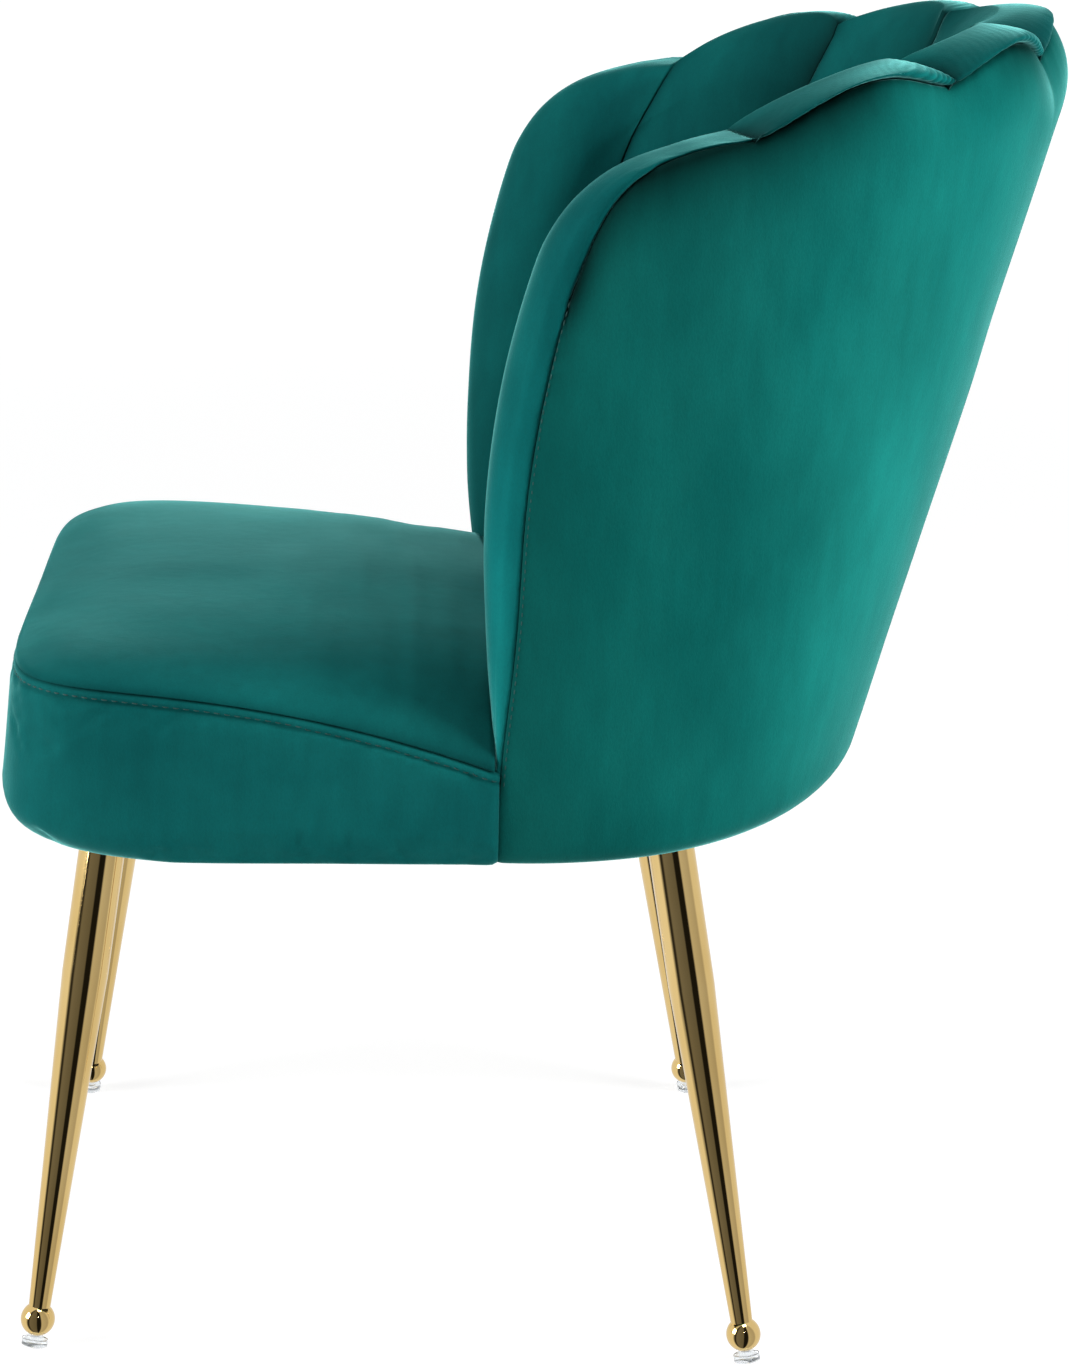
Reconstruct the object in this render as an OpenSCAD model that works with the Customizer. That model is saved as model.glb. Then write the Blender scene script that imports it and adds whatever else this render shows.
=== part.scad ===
// Upholstered dining chair with a channelled shell back on four splayed metal legs.
// Frame: +Z up, the sitter faces -Y, the origin is on the floor under the middle of the chair.

/* [Seat] */
// Height of the underside of the upholstered body
base_z = 337; // [320:1:360]
// Width of the seat across its top seam
seat_w = 494; // [480:1:510]
// How far the top seam of the seat reaches ahead of the origin
seat_front = 327; // [310:1:345]
// Height of the top seam at the front edge
seam_front_z = 449; // [440:1:465]
// How far the top seam drops by the time it meets the wings
seam_drop = 54; // [40:1:60]
// Height of the crown of the seat cushion
crown_z = 472; // [465:1:490]
// Radius of the rolled lower edge of the body
roll_r = 30; // [24:1:34]

/* [Back shell] */
// Width of the shell at its base
shell_w = 485; // [470:1:500]
// Distance from the origin to the back of the shell at its base
shell_rear = 211; // [200:1:222]
// Rearward lean of the back per millimetre of height
recline = 0.275; // [0.24:0.001:0.3]
// Sideways flare of each side per millimetre of height
flare = 0.049; // [0.03:0.001:0.06]
// Height of the rim seam above the centre channel
rim_z = 831; // [820:1:845]
// Thickness of the moulded plywood shell
board_t = 9.4; // [6:0.2:10]

/* [Channels] */
// Thickness of a channel pad at its fullest
pad_full = 68; // [60:1:76]
// Thickness of a channel pad at the sewn valley beside it
pad_valley = 54; // [44:1:60]
// Rise of each scallop of the rim above its valleys
scallop = 18; // [10:1:24]

/* [Legs] */
// Diameter of the straight upper part of a leg
leg_d = 29.4; // [26:0.2:32]
// Diameter of a leg where it meets its ball
leg_tip_d = 14; // [12:0.2:16]
// Length of the straight upper part of a leg
leg_straight = 97; // [80:1:120]
// Diameter of the ball at the foot
ball_d = 22; // [20:0.5:24]
// Height of the centre of the ball above the floor
ball_z = 18.7; // [18:0.1:19.5]
// Half of the distance between the front feet
front_foot_x = 211; // [200:1:220]
// Half of the distance between the rear feet
rear_foot_x = 223; // [210:1:230]
// Side of the square mounting plate
plate_side = 58; // [54:1:62]

/* [Glides] */
// Diameter of the foot of a levelling glide
glide_d = 16.5; // [14:0.1:18]
// Nominal diameter of the glide's threaded stem
stem_d = 6; // [5:0.5:6]
// Gap around the stem in its bore
stem_gap = 0.05; // [0.03:0.01:0.08]

/* [Hidden] */

velvet = [0.06, 0.40, 0.36];
timber = [0.78, 0.62, 0.42];
foam = [0.93, 0.86, 0.60];
gold = [0.83, 0.68, 0.36];
steel = [0.62, 0.63, 0.65];
black = [0.13, 0.13, 0.14];
clear = [0.80, 0.86, 0.90];

cloth_t = 4;            // outer back cover with its wadding
cover_t = 2.8;          // seat cover with its wadding
gap = 0.35;             // space left between layers that follow each other
rail_top = base_z + 55;
strap_t = 1.5;
pad_bottom = rail_top + 4;
seat_half = seat_w/2;
seat_mid_y = -97;       // where the straight sides start to round into the front
seat_reach = seat_front + seat_mid_y;
corner_n = 7;           // exponent of the rounded-rectangle outline
border_t = 31;          // thickness of the padded border of the seat
border_end = -27;       // where the border stops against the wings
front_foot_y = -314;
rear_foot_y = 138;
lean_x = 0.19;          // sideways lean of every leg per millimetre of height
front_lean = 0.135;
rear_lean = -0.168;
plate_t = 3;
leg_top = base_z - plate_t;
dust_t = 0.8;

// ---- channel valleys as angles around the shell, from the centre to the wing ----
valleys = [17, 43.5, 69];
valley_seam = [rim_z - 19, rim_z - 26, rim_z - 51];
valley_crest = [rim_z - 5, rim_z - 19, rim_z - 52];
crest_rise = [12, 13, 16];
seam_round = 1.3;               // the smaller these two are, the squarer the scallops
crest_round = 0.8;
valley_lean = [8, 5.5, 7.5];    // how far each valley swings forward below the rim, as an angle
lean_straight = 50;             // depth below the rim over which a valley leans in a straight line
lean_end = 130;                 // depth at which it has stopped leaning
valley_deep = 18;               // how much further inside the crest lies in a valley
corner_z = rim_z - 141;         // where the wing front starts to round into the rim
corner_turn = 19;               // angle that the rounded corner takes up
corner_bend = [[-3.1, 50], [-3.8, 84]];  // handles of the corner's curve, as angle and height from its start
front_sweep = 6.4;              // how far the wing front comes forward towards the seat, as an angle
rim_reach = 45;                 // how far below the rim the outer surface starts to roll over
board_bottom = base_z + roll_r;

function lerp(a, b, u) = a + (b - a)*u;
function clamp01(x) = min(1, max(0, x));
function flatten(rows) = [for (row = rows) for (p = row) p];
function steps(n) = [for (i = [0:n]) i/n];

// ---- outer surface of the shell: an ellipse whose size and centre change with height ----
function half_w(z) = shell_w/2 + flare*(z - base_z);
function mid_y(z) = -10 + 0.022*(z - base_z);
function depth(z) = shell_rear + recline*(z - base_z) - mid_y(z);
function shell(phi, z) = [half_w(z)*sin(phi), mid_y(z) + depth(z)*cos(phi), z];
function inward(phi, z) =
    let (v = [sin(phi)/half_w(z), cos(phi)/depth(z), 0]) -v/norm(v);
function at(phi, z, t) = shell(phi, z) + t*inward(phi, z);

// ---- rim and wing-front lines of the shell ----
function lobe(phi) = abs(phi) < valleys[0] ? 0 : abs(phi) < valleys[1] ? 1 : 2;
function lobe_u(phi) =
    abs(phi) < valleys[0] ? abs(phi)/valleys[0]*0.5 + 0.5
    : let (i = lobe(phi)) (abs(phi) - valleys[i-1])/(valleys[i] - valleys[i-1]);
function ridge(phi, low, rise, round) =
    let (i = lobe(phi), from = i == 0 ? low[0] : low[i-1])
    lerp(from, low[i], i == 0 ? 1 : lobe_u(phi)) + rise[i]*pow(sin(180*clamp01(lobe_u(phi))), round);
function seam_z(phi) = ridge(phi, valley_seam, [scallop + 1, scallop - 1, scallop], seam_round);
function crest_z(phi) = ridge(phi, valley_crest, crest_rise, crest_round);
function seam_in(phi) = 8 + 17*pow(cos(phi), 2);
function crest_in(phi) = 36 + 22*pow(cos(phi), 2);

// ---- fan of the valleys: each leaves the rim leaning, then straightens towards the seat ----
lean_half = 0.6;                // share of its lean that a valley has at the end of the straight part
function lean_share(drop) =
    drop <= 0 ? 0
    : drop < lean_straight ? lean_half*drop/lean_straight
    : let (u = clamp01((drop - lean_straight)/(lean_end - lean_straight)))
      1 - (1 - lean_half)*pow(1 - u, 2);
function rim_lean(phi) =
    let (a = abs(phi), i = lobe(phi))
    a >= valleys[2] ? valley_lean[2]
    : i == 0 ? valley_lean[0]*a/valleys[0]
    : lerp(valley_lean[i-1], valley_lean[i], (a - valleys[i-1])/(valleys[i] - valleys[i-1]));
function fan(phi, z) = phi + sign(phi)*rim_lean(phi)*lean_share(seam_z(phi) - z);
degree = 5.4;                   // length of one degree of the shell at its sides
function front_phi(z, inset) =
    valleys[2] + corner_turn - inset/degree
    + front_sweep*(1 - pow(clamp01((z - base_z - 11)/(corner_z - base_z - 11)), 2.2));
function bezier(p, u) =
    pow(1 - u, 3)*p[0] + 3*u*pow(1 - u, 2)*p[1] + 3*u*u*(1 - u)*p[2] + u*u*u*p[3];
function corner(turn, inset) =
    let (start = [valleys[2] + corner_turn, corner_z], in = [-inset/degree, 0], down = [0, -inset])
    bezier([start + in, start + corner_bend[0] + in + down/2, start + corner_bend[1] + in/2 + down,
        [valleys[2], valley_seam[2]] + down], turn/90);

// ---- insets of the outer surface where it rolls under the body and over to the rim ----
function low_roll(z) =
    let (h = base_z + roll_r - z) h <= 0 ? 0 : roll_r - sqrt(max(0, roll_r*roll_r - h*h));
function top_roll(phi, below) = seam_in(phi)*pow(1 - clamp01(below/rim_reach), 2);
function wing_share(phi) = clamp01((abs(phi) - valleys[2])/corner_turn);
function rim_top(phi) =
    abs(phi) <= valleys[2] ? seam_z(phi)
    : corner_z + (valley_seam[2] - corner_z)*sqrt(1 - pow(wing_share(phi), 2.6));
function tuck(phi, z) =
    low_roll(z) + lerp(1, 0.35, wing_share(phi))*top_roll(phi, rim_top(phi) - z);

// ---- closed solid between two grids of points with the same rows and columns ----
// turned splits the surface's quads along their other diagonal
module slab(front, back, turned = false) {
    rows = len(front);
    cols = len(front[0]);
    n = rows*cols;
    function id(r, c) = r*cols + c;
    points = concat(flatten(front), flatten(back));
    skin = [for (r = [0:rows-2], c = [0:cols-2])
        each turned ? [[id(r,c), id(r+1,c), id(r,c+1)], [id(r+1,c), id(r+1,c+1), id(r,c+1)]]
            : [[id(r,c), id(r+1,c), id(r+1,c+1)], [id(r,c), id(r+1,c+1), id(r,c+1)]]];
    under = [for (f = skin) [n + f[2], n + f[1], n + f[0]]];
    rim = concat(
        [for (c = [0:cols-2]) each band(id(0,c), id(0,c+1), n)],
        [for (c = [0:cols-2]) each band_other(id(rows-1,c+1), id(rows-1,c), n)],
        [for (r = [0:rows-2]) each band_other(id(r+1,0), id(r,0), n)],
        [for (r = [0:rows-2]) each band(id(r,cols-1), id(r+1,cols-1), n)]);
    polyhedron(points, concat(skin, under, rim), convexity = 8);
}
function band(a, b, n) = [[a, b, n + b], [a, n + b, n + a]];
function band_other(a, b, n) = [[a, b, n + a], [b, n + b, n + a]];

module both_sides(side) {
    if (side > 0) children();
    else mirror([1, 0, 0]) children();
}

// ---- grid over the whole shell: columns as [wing, angle or share of the wing, side] ----
wing_steps = 5;
lobe_steps = 8;
side_cols = concat(
    [for (i = [0:wing_steps-1]) [true, 1 - i/wing_steps]],
    [for (i = [0:lobe_steps-1]) [false, lerp(valleys[2], valleys[1], i/lobe_steps)]],
    [for (i = [0:lobe_steps-1]) [false, lerp(valleys[1], valleys[0], i/lobe_steps)]],
    [for (i = [0:lobe_steps/2-1]) [false, lerp(valleys[0], 0, i/(lobe_steps/2))]]);
all_cols = concat([for (c = side_cols) [c[0], c[1], 1]], [[false, 0, 1]],
    [for (i = [len(side_cols)-1:-1:0]) [side_cols[i][0], side_cols[i][1], -1]]);

// Rows, bottom to top: round the lower roll, up the straight part, then at set distances below the rim
roll_rows = [for (b = [0, 22.5, 45, 67.5]) ["above foot", roll_r*(1 - cos(b))]];
rise_rows = [for (u = [0, 0.25, 0.5, 0.75]) ["share", u]];
rim_rows = [for (d = [60, 45, 36, 28, 21, 15, 9, 4, 0]) ["below rim", d]];
cover_rows = concat(roll_rows, rise_rows, rim_rows);
board_rows = concat(rise_rows, rim_rows);
rim_band = rim_rows[0][1];
function row_z(row, top, inset) =
    row[0] == "above foot" ? base_z + row[1]
    : row[0] == "share" ? lerp(base_z + roll_r, top - rim_band, row[1])
    : top - row[1]*(1 - inset/rim_band);
function wing_phi(share, z, end, inset) =
    let (rise = clamp01((z - base_z)/(end[1] - base_z)),
         span = function (h) (front_phi(h, inset) - valleys[2])*share)
    valleys[2] + span(z) + rise*rise*(end[0] - valleys[2] - span(end[1]));
function place(col, row, inset) =
    let (end = col[0] ? corner(90*(1 - col[1]), inset) : [col[1], seam_z(col[1]) - inset],
         z = row_z(row, end[1], inset))
    [col[2]*(col[0] ? wing_phi(col[1], z, end, inset) : col[1]), z];
function sheet(t, inset, rows) =
    [for (row = rows) [for (col = all_cols)
        let (q = place(col, row, inset)) at(q[0], q[1], t + tuck(q[0], q[1]))]];

module outer_back_cover() {
    color(velvet) slab(sheet(0, 0.4, cover_rows), sheet(cloth_t, 1, cover_rows));
}

board_drop = 10;                // how far below the rim seam the front of the board ends
module shell_board() {
    face = cloth_t + gap;
    color(timber) slab(sheet(face, board_drop/4, board_rows), sheet(face + board_t, board_drop, board_rows));
}

// ---- channel pads ----
pad_back = cloth_t + board_t + 5*gap;
seam_turn = 0.8;                // how far below the rim seam the pad's cloth is tacked
rear_fuller = 0.14;             // pads behind the sitter are this much thicker than those at the sides
crease = 2.2;                   // the larger this is, the flatter a pad between two valleys
function full_depth(phi) = pad_full*(1 + rear_fuller*pow(cos(phi), 2));
function pad_depth(phi, u) =
    lerp(full_depth(phi), pad_valley*(1 + 0.1*pow(cos(phi), 2)), pow(abs(2*u - 1), crease));
seam_clear = 0.5;
roll_in = [for (i = [0:4]) 180 - 22.5*i];
roll_out = [for (i = [1:4]) 22.5*i];
rise_steps = 6;
pad_gap = 0.07;                 // half of the angle left between two pads
pad_turn = 45;                  // height over which a pad turns from its face to its crest
fill_reach = 150;               // how far below the rim a valley starts to fill up
rim_fill = 0.75;                // share of its depth that has filled up at the rim
lip = 0.3;                      // how far a pad stands past the cover at the rim seam

// One column of a channel from its foot over the rim to the outer seam
function rise_z(phi, i) = lerp(pad_bottom, crest_z(phi) - pad_turn, pow(i/rise_steps, 0.7));
function fill(phi, u, z) =
    let (near = clamp01((z - crest_z(phi) + fill_reach)/(fill_reach - pad_turn)))
    lerp(pad_depth(phi, u), full_depth(phi), rim_fill*near*near);
function crest_at(phi, u) = crest_in(phi) + valley_deep*pow(abs(2*u - 1), crease);
function channel_front(phi, u) =
    let (zc = crest_z(phi), t = fill(phi, u, zc - pad_turn), tc = min(crest_at(phi, u), t - 3),
         zs = seam_z(phi), ts = seam_in(phi) + seam_clear,
         on = function (z, t) at(fan(phi, z), z, t))
    concat(
        [for (i = [0:rise_steps-1]) on(rise_z(phi, i), fill(phi, u, rise_z(phi, i)))],
        [for (a = roll_in) on(zc - pad_turn*(1 - sin(a)), tc - (t - tc)*cos(a))],
        [for (b = roll_out) on(lerp(zs, zc, cos(b)) + lip, tc - (tc - ts)*sin(b))]);
function channel_back(phi) =
    let (zs = seam_z(phi), last = len(roll_in) + len(roll_out) - 2,
         on = function (z, t) at(fan(phi, z), z, t + max(tuck(phi, z), tuck(fan(phi, z), z))))
    concat(
        [for (i = [0:rise_steps-1]) on(rise_z(phi, i), pad_back)],
        [for (i = [0:last]) on(lerp(rise_z(phi, rise_steps), zs - board_drop, i/last), pad_back)],
        [at(phi, zs - seam_turn, seam_in(phi) + cloth_t + gap)]);

module channel(from, to) {
    us = steps(lobe_steps);
    angles = [for (u = us) lerp(to - pad_gap, from + pad_gap, u)];
    front = [for (k = [0:len(us)-1]) channel_front(angles[k], us[k])];
    back = [for (a = angles) channel_back(a)];
    color(velvet) slab(front, back);
}

// Wing channel: lines run from the last valley out to the wing front and round its corner
front_share = 0.6;
wing_lines = 14;
wing_bulge = 24;                // how far the wing pad stands past the front edge of the cover
wing_cloth = 3.5;               // depth of the wing's front seam behind the outer surface
function wing_edge(w, inset) =
    w < front_share
    ? let (z = lerp(pad_bottom, corner_z, w/front_share)) [front_phi(z, inset), z]
    : corner(90*(w - front_share)/(1 - front_share), inset);
wing_gap = 0.2;                 // angle left between the wing pad and the valley
wing_turn = 2.2;                // how far inside the wing's front edge the pad's cloth is tacked
function wing_root(w) = [wing_gap, lerp(pad_bottom, valley_seam[2] - pad_turn, w)];
function past_valley(edge) = [max(wing_gap, edge[0] - fan(valleys[2], edge[1])), edge[1]];
function from_valley(q) = [fan(valleys[2], q[1]) + q[0], q[1]];
function wing_swell(w) = wing_bulge*pow(sin(180*clamp01(w*1.12 - 0.02)), 1.2);
function wing_seam_in(w) = lerp(wing_cloth, seam_in(valleys[2]), pow(w, 4));
function wing_line(w) =
    let (root = wing_root(w), edge = from_valley(past_valley(wing_edge(w, 0))),
         tip = shell(edge[0], edge[1]), base = from_valley(root), foot = shell(base[0], base[1]),
         span = norm(tip - foot), out = (tip - foot)/span,
         turn = min(40, 0.9*span), hold = 1 - turn/span, rise = wing_swell(w),
         tc = crest_in(edge[0]) - 6*sin(180*w) + valley_deep*pow(w, 8), ts = wing_seam_in(w) + seam_clear,
         inner = [for (u = [0, 0.3, 0.65]) lerp(root, past_valley(edge), u*hold)],
         seam_deep = fill(valleys[2], 1, root[1]), full = lerp(pad_full, seam_deep, pow(w, 8)),
         deep = function (back) inward(lerp(edge[0], base[0], back/span), edge[1]),
         near_valley = function (past) pow(1 - clamp01(past/8), crease))
    concat(
        [for (q = inner) let (p = from_valley(q)) at(p[0], p[1], lerp(full, seam_deep, near_valley(q[0])))],
        [for (a = roll_in) tip + out*(rise - (rise + turn)*(1 - sin(a)))
            + (tc - (full - tc)*cos(a))*deep(turn*(1 - sin(a)))],
        [for (b = roll_out) tip + out*(rise*cos(b) + lip) + (tc - (tc - ts)*sin(b))*deep(0)]);
function wing_back(w) =
    let (root = wing_root(w), edge = wing_edge(w, board_drop),
         end = from_valley(past_valley(wing_edge(w, wing_turn))),
         last = len(roll_in) + len(roll_out),
         inner = [for (i = [0:last]) let (q = from_valley(lerp(root, past_valley(edge), i/last)))
            at(q[0], q[1], pad_back + 2*gap + tuck(q[0], q[1]))],
         seam = at(end[0], end[1], wing_seam_in(w) + cloth_t + gap))
    concat(inner, [lerp(inner[last], seam, 0.75)], [seam]);

module wing_channel() {
    ws = steps(wing_lines);
    color(velvet) slab([for (w = ws) wing_line(w)], [for (w = ws) wing_back(w)], turned = true);
}

// ---- seat ----
function seat_seam(y) =
    seam_front_z - seam_drop*pow(clamp01((y + seat_front)/(seat_front + border_end)), 2.2);
function corner_half(half, reach, y) =
    let (q = clamp01((seat_mid_y - y)/reach)) half*pow(1 - pow(q, corner_n), 1/corner_n);
function fullness(x, y) =
    let (p = clamp01(abs(x)/seat_half), q = clamp01((seat_mid_y - y)/seat_reach))
    clamp01(1 - pow(p, corner_n) - pow(q, corner_n));

// Height of the seat's top: an edge that follows the seam, and a crown that falls to front and rear
crown_front_fall = 0.00012;
crown_rear_fall = 0.0006;
function crown(x, y) =
    let (edge = max(seat_seam(y), pad_bottom) + cover_t + 2*gap,
         ridge = crown_z - crown_front_fall*pow(min(0, y + 190), 2) - crown_rear_fall*pow(max(0, y + 150), 2),
         dome = 0.55 + 0.45*pow(1 - clamp01(abs(x)/seat_half), 0.5))
    lerp(edge, ridge, pow(fullness(x, y), 0.6)*dome);

// Rows of the cushion as [y, half width]: the open front, then the part between the channels
cushion_end = border_end - 4;
front_flat = 0.4;               // the first row lies this far inside the outline, where that is already wide
front_turn_y = -seat_front + seat_reach*0.32;
rear_turns = [88, 78, 68, 58, 48, 38, 29, 20, 11];
function front_rows(shrink) =
    [for (y = concat([for (i = [0:8]) lerp(front_flat - seat_front, front_turn_y, pow(i/8, 1.6))],
            [for (i = [1:5]) lerp(front_turn_y, cushion_end, i/5)]))
        [y + shrink*clamp01((cushion_end - y)/60), corner_half(seat_half, seat_reach, y) - shrink]];
function rear_rows(shrink) =
    [for (a = rear_turns) let (p = at(a, pad_bottom, full_depth(a) + 1.5 + shrink)) [p[1], p[0]]];
function cushion_rows(shrink) =
    let (rear = rear_rows(shrink))
    concat(front_rows(shrink), [[cushion_end + 1, rear[0][1]]], rear);
cushion_cols = [for (i = [-9:9]) sin(90*i/9)];
function cushion_top(drop, shrink) =
    [for (row = cushion_rows(shrink)) [for (c = cushion_cols)
        [c*row[1], row[0], crown(c*row[1], row[0]) - drop]]];
function cushion_floor(shrink) =
    [for (row = cushion_rows(shrink)) [for (c = cushion_cols)
        [c*row[1], row[0], max(seat_seam(row[0] - shrink), pad_bottom) + 1.2]]];

module seat_cushion() {
    color(foam) slab(cushion_top(cover_t + 4*gap, 4), cushion_floor(4));
}

module seat_cover() {
    color(velvet) slab(cushion_top(0, 0), cushion_top(cover_t, 0));
}

module seat_core() {
    inset = border_t + 1;
    ys = [for (k = [0, 0.04, 0.12, 0.3, 0.6, 0.85]) lerp(inset - seat_front, border_end, k)];
    top = [for (y = ys) [for (s = [-1, 1])
        [s*corner_half(seat_half - inset, seat_reach - inset, y + 0.4), y, seat_seam(y)]]];
    color(foam) slab(top, [for (row = top) [for (p = row) [p[0], p[1], pad_bottom - 0.4]]]);
}

// Seat outline at a given inset, from the left wing round the front to the right wing
side_marks = [0, 0.15, 0.3, 0.45, 0.58, 0.7, 0.79, 0.86];
front_marks = [0.906, 0.86, 0.79, 0.68, 0.5, 0.25];
function outline(inset, swell) =
    let (half = seat_half - inset, reach = seat_reach - inset + swell,
         rest = function (m) pow(1 - pow(m, corner_n), 1/corner_n),
         left = concat([[half, border_end], [half, -50], [half, -74]],
            [for (m = side_marks) [half*rest(m), seat_mid_y - reach*m]],
            [for (m = front_marks) [half*m, seat_mid_y - reach*rest(m)]]),
         n = len(left))
    concat(left, [[0, seat_mid_y - reach]], [for (k = [n-1:-1:0]) [-left[k][0], left[k][1]]]);

edge_turns = [0, 22.5, 45, 67.5, 90];
border_swell = 9;               // how far the border swells forward below its top seam
module seat_border() {
    outer = [for (b = edge_turns)
        ring(roll_r*(1 - sin(b)), base_z + roll_r*(1 - cos(b)), border_swell*sin(b))];
    inner = [for (b = edge_turns) ring(border_t, base_z + 0.2 + roll_r*(1 - cos(b)), 0)];
    color(velvet) slab(concat(inner, [ring_top(border_t)]), concat(outer, [ring_top(0)]));
}
function ring(inset, z, swell) = [for (p = outline(inset, swell)) [p[0], p[1], z]];
function ring_top(inset) = [for (p = outline(inset, 0)) [p[0], p[1], seat_seam(p[1])]];

// ---- timber frame under the seat ----
rail_bottom = base_z + 1;
rail_h = rail_top - rail_bottom;
side_rail_x = [187.5, 213];
side_rail_y = [-235, -4];
front_rail_x = 150;
front_rail_y = [-291, -262];
ring_depth = 78;
ring_turn = 87;

module timber_block(shape) {
    color(timber) translate([0, 0, rail_bottom]) linear_extrude(rail_h) polygon(shape);
}

module seat_rail_front() {
    timber_block([[-front_rail_x, front_rail_y[0]], [front_rail_x, front_rail_y[0]],
        [front_rail_x, front_rail_y[1]], [-front_rail_x, front_rail_y[1]]]);
}

module seat_rail_side() {
    timber_block([[side_rail_x[0], side_rail_y[0]], [side_rail_x[1], side_rail_y[0]],
        [side_rail_x[1], side_rail_y[1]], [side_rail_x[0], side_rail_y[1]]]);
}

module corner_block() {
    x = side_rail_x[0];
    y = front_rail_y[1];
    timber_block([[110, y], [front_rail_x, y], [front_rail_x, y - 24], [178, y - 21],
        [x, y - 14], [x, y + 62], [165, y + 62], [110, y + 17]]);
}

// Laminated rail that follows the shell round the back of the seat
module seat_rail_rear() {
    turns = [for (k = [-16:16]) -ring_turn*k/16];
    // each row as [height, depth behind the outer surface], following the roll and then the board
    outside = concat([[rail_bottom, roll_r]],
        [for (b = [22.5, 45, 67.5, 88]) [base_z + roll_r*(1 - cos(b)), roll_r*(1 - sin(b))]],
        [[board_bottom - 0.6, pad_back - cloth_t], [rail_top, pad_back - cloth_t]]);
    outer = [for (row = outside) [for (a = turns) at(a, row[0], cloth_t + 1.5 + row[1])]];
    inner = [for (row = outside) [for (a = turns) at(a, row[0], ring_depth)]];
    color(timber) slab(outer, inner);
}

// ---- webbing, dust cover and bolts ----
module strap(x0, x1, y0, y1, z) {
    translate([x0, y0, z]) cube([x1 - x0, y1 - y0, strap_t]);
}

function ring_half_x(y) =
    y < side_rail_y[1] ? side_rail_x[1] - 3
    : (half_w(rail_top) - 50)*sqrt(1 - pow((y - mid_y(rail_top))/(depth(rail_top) - 50), 2));
function ring_end_y(x) =
    mid_y(rail_top) + (depth(rail_top) - 50)*sqrt(1 - pow(x/(half_w(rail_top) - 50), 2));

strap_w = 40;
module webbing_cross() {
    color(black) for (y = [-245, -192, -139, -86, -20, 33, 86])
        strap(-ring_half_x(y + strap_w), ring_half_x(y + strap_w), y, y + strap_w, rail_top);
}

module webbing_long() {
    color(black) for (x = [-120, -60, 0, 60, 120])
        strap(x - strap_w/2, x + strap_w/2, -287, ring_end_y(abs(x) + strap_w/2), rail_top + strap_t + 0.2);
}

module dust_cover() {
    back = [for (k = [-11:11]) let (p = at(8*k, base_z, roll_r + cloth_t + 2)) [p[0], p[1]]];
    color(black) translate([0, 0, base_z + 0.1]) linear_extrude(dust_t)
        polygon(concat(outline(border_t + 9, 0), back));
}

bolt_z = base_z + 43;
module shell_bolts() {
    color(steel) for (a = [-60, -30, 0, 30, 60]) {
        place = at(a, bolt_z, cloth_t + 3);
        way = inward(a, bolt_z);
        translate(place) rotate([0, 90, atan2(way[1], way[0])]) {
            cylinder(r = 6, h = 2.5, $fn = 32);
            cylinder(r = 3, h = 38, $fn = 32);
        }
    }
}

// ---- legs, balls and glides ----
leg_round = 64;
tube_wall = 1.5;
dome_r = 18;
neck_gap = 0.1;
floor_cut = 0.35;               // how much the dome is worn flat where it meets the floor
bore_top = 5;
function foot_of(front) = front ? [front_foot_x, front_foot_y, ball_z] : [rear_foot_x, rear_foot_y, ball_z];
function lean_of(front) = [-lean_x, front ? front_lean : rear_lean, 1];
function leg_head(front) = foot_of(front) + lean_of(front)*(leg_top - ball_z);

module on_leg(front) {
    v = lean_of(front);
    translate(foot_of(front)) rotate([0, acos(1/norm(v)), atan2(v[1], v[0])]) rotate([0, 0, 90]) children();
}

module leg(front) {
    tip = leg_tip_d/2;
    full = leg_d/2;
    start = sqrt(pow(ball_d/2, 2) - tip*tip);
    finish = norm(lean_of(front))*(leg_top - ball_z);
    kink = finish - leg_straight;
    head = leg_head(front);
    color(gold) difference() {
        on_leg(front) rotate_extrude($fn = leg_round) polygon([[0, start], [tip, start], [full, kink],
            [full, finish + 20], [full - tube_wall, finish + 20], [full - tube_wall, kink],
            [tip - tube_wall, start + 6], [0, start + 6]]);
        translate([head[0] - 60, head[1] - 60, leg_top]) cube([120, 120, 60]);
    }
}

module ball(front) {
    r = ball_d/2;
    color(gold) on_leg(front) difference() {
        sphere(r = r, $fn = leg_round);
        translate([0, 0, sqrt(r*r - pow(leg_tip_d/2, 2))]) cylinder(r = r, h = r, $fn = leg_round);
        translate([0, 0, -2*r]) cylinder(r = stem_d/2 + stem_gap, h = 2*r + bore_top, $fn = leg_round);
    }
}

module glide(front) {
    v = lean_of(front);
    r = ball_d/2;
    // the dome's lowest point is a little under the floor, and is then cut flat
    reach = dome_r + (ball_z - dome_r + floor_cut)*norm(v);
    foot = foot_of(front);
    color(clear) difference() {
        on_leg(front) {
            translate([0, 0, -r - 2]) cylinder(r = 4.6, h = 2 - neck_gap, $fn = leg_round);
            translate([0, 0, -r - 1]) cylinder(r = stem_d/2, h = r + bore_top, $fn = leg_round);
            intersection() {
                translate([0, 0, dome_r - reach]) sphere(r = dome_r, $fn = 96);
                translate([0, 0, -reach - 1]) cylinder(r = glide_d/2, h = reach - r - 1, $fn = leg_round);
            }
        }
        translate([foot[0] - 30, foot[1] - 30, -20]) cube([60, 60, 20]);
    }
}

// Each mounting plate sits a little inboard of its leg
plate_turn = [0, 30];
plate_shift = [[-4, 4], [-7.5, -5]];
function plate_pose(front) =
    let (head = leg_head(front), k = front ? 0 : 1)
    [head[0] + plate_shift[k][0], head[1] + plate_shift[k][1], plate_turn[k]];
screw_out = 18.5;
plate_corner = 6;

module on_plate(front, z) {
    pose = plate_pose(front);
    translate([pose[0], pose[1], z]) rotate([0, 0, pose[2]]) children();
}

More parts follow.
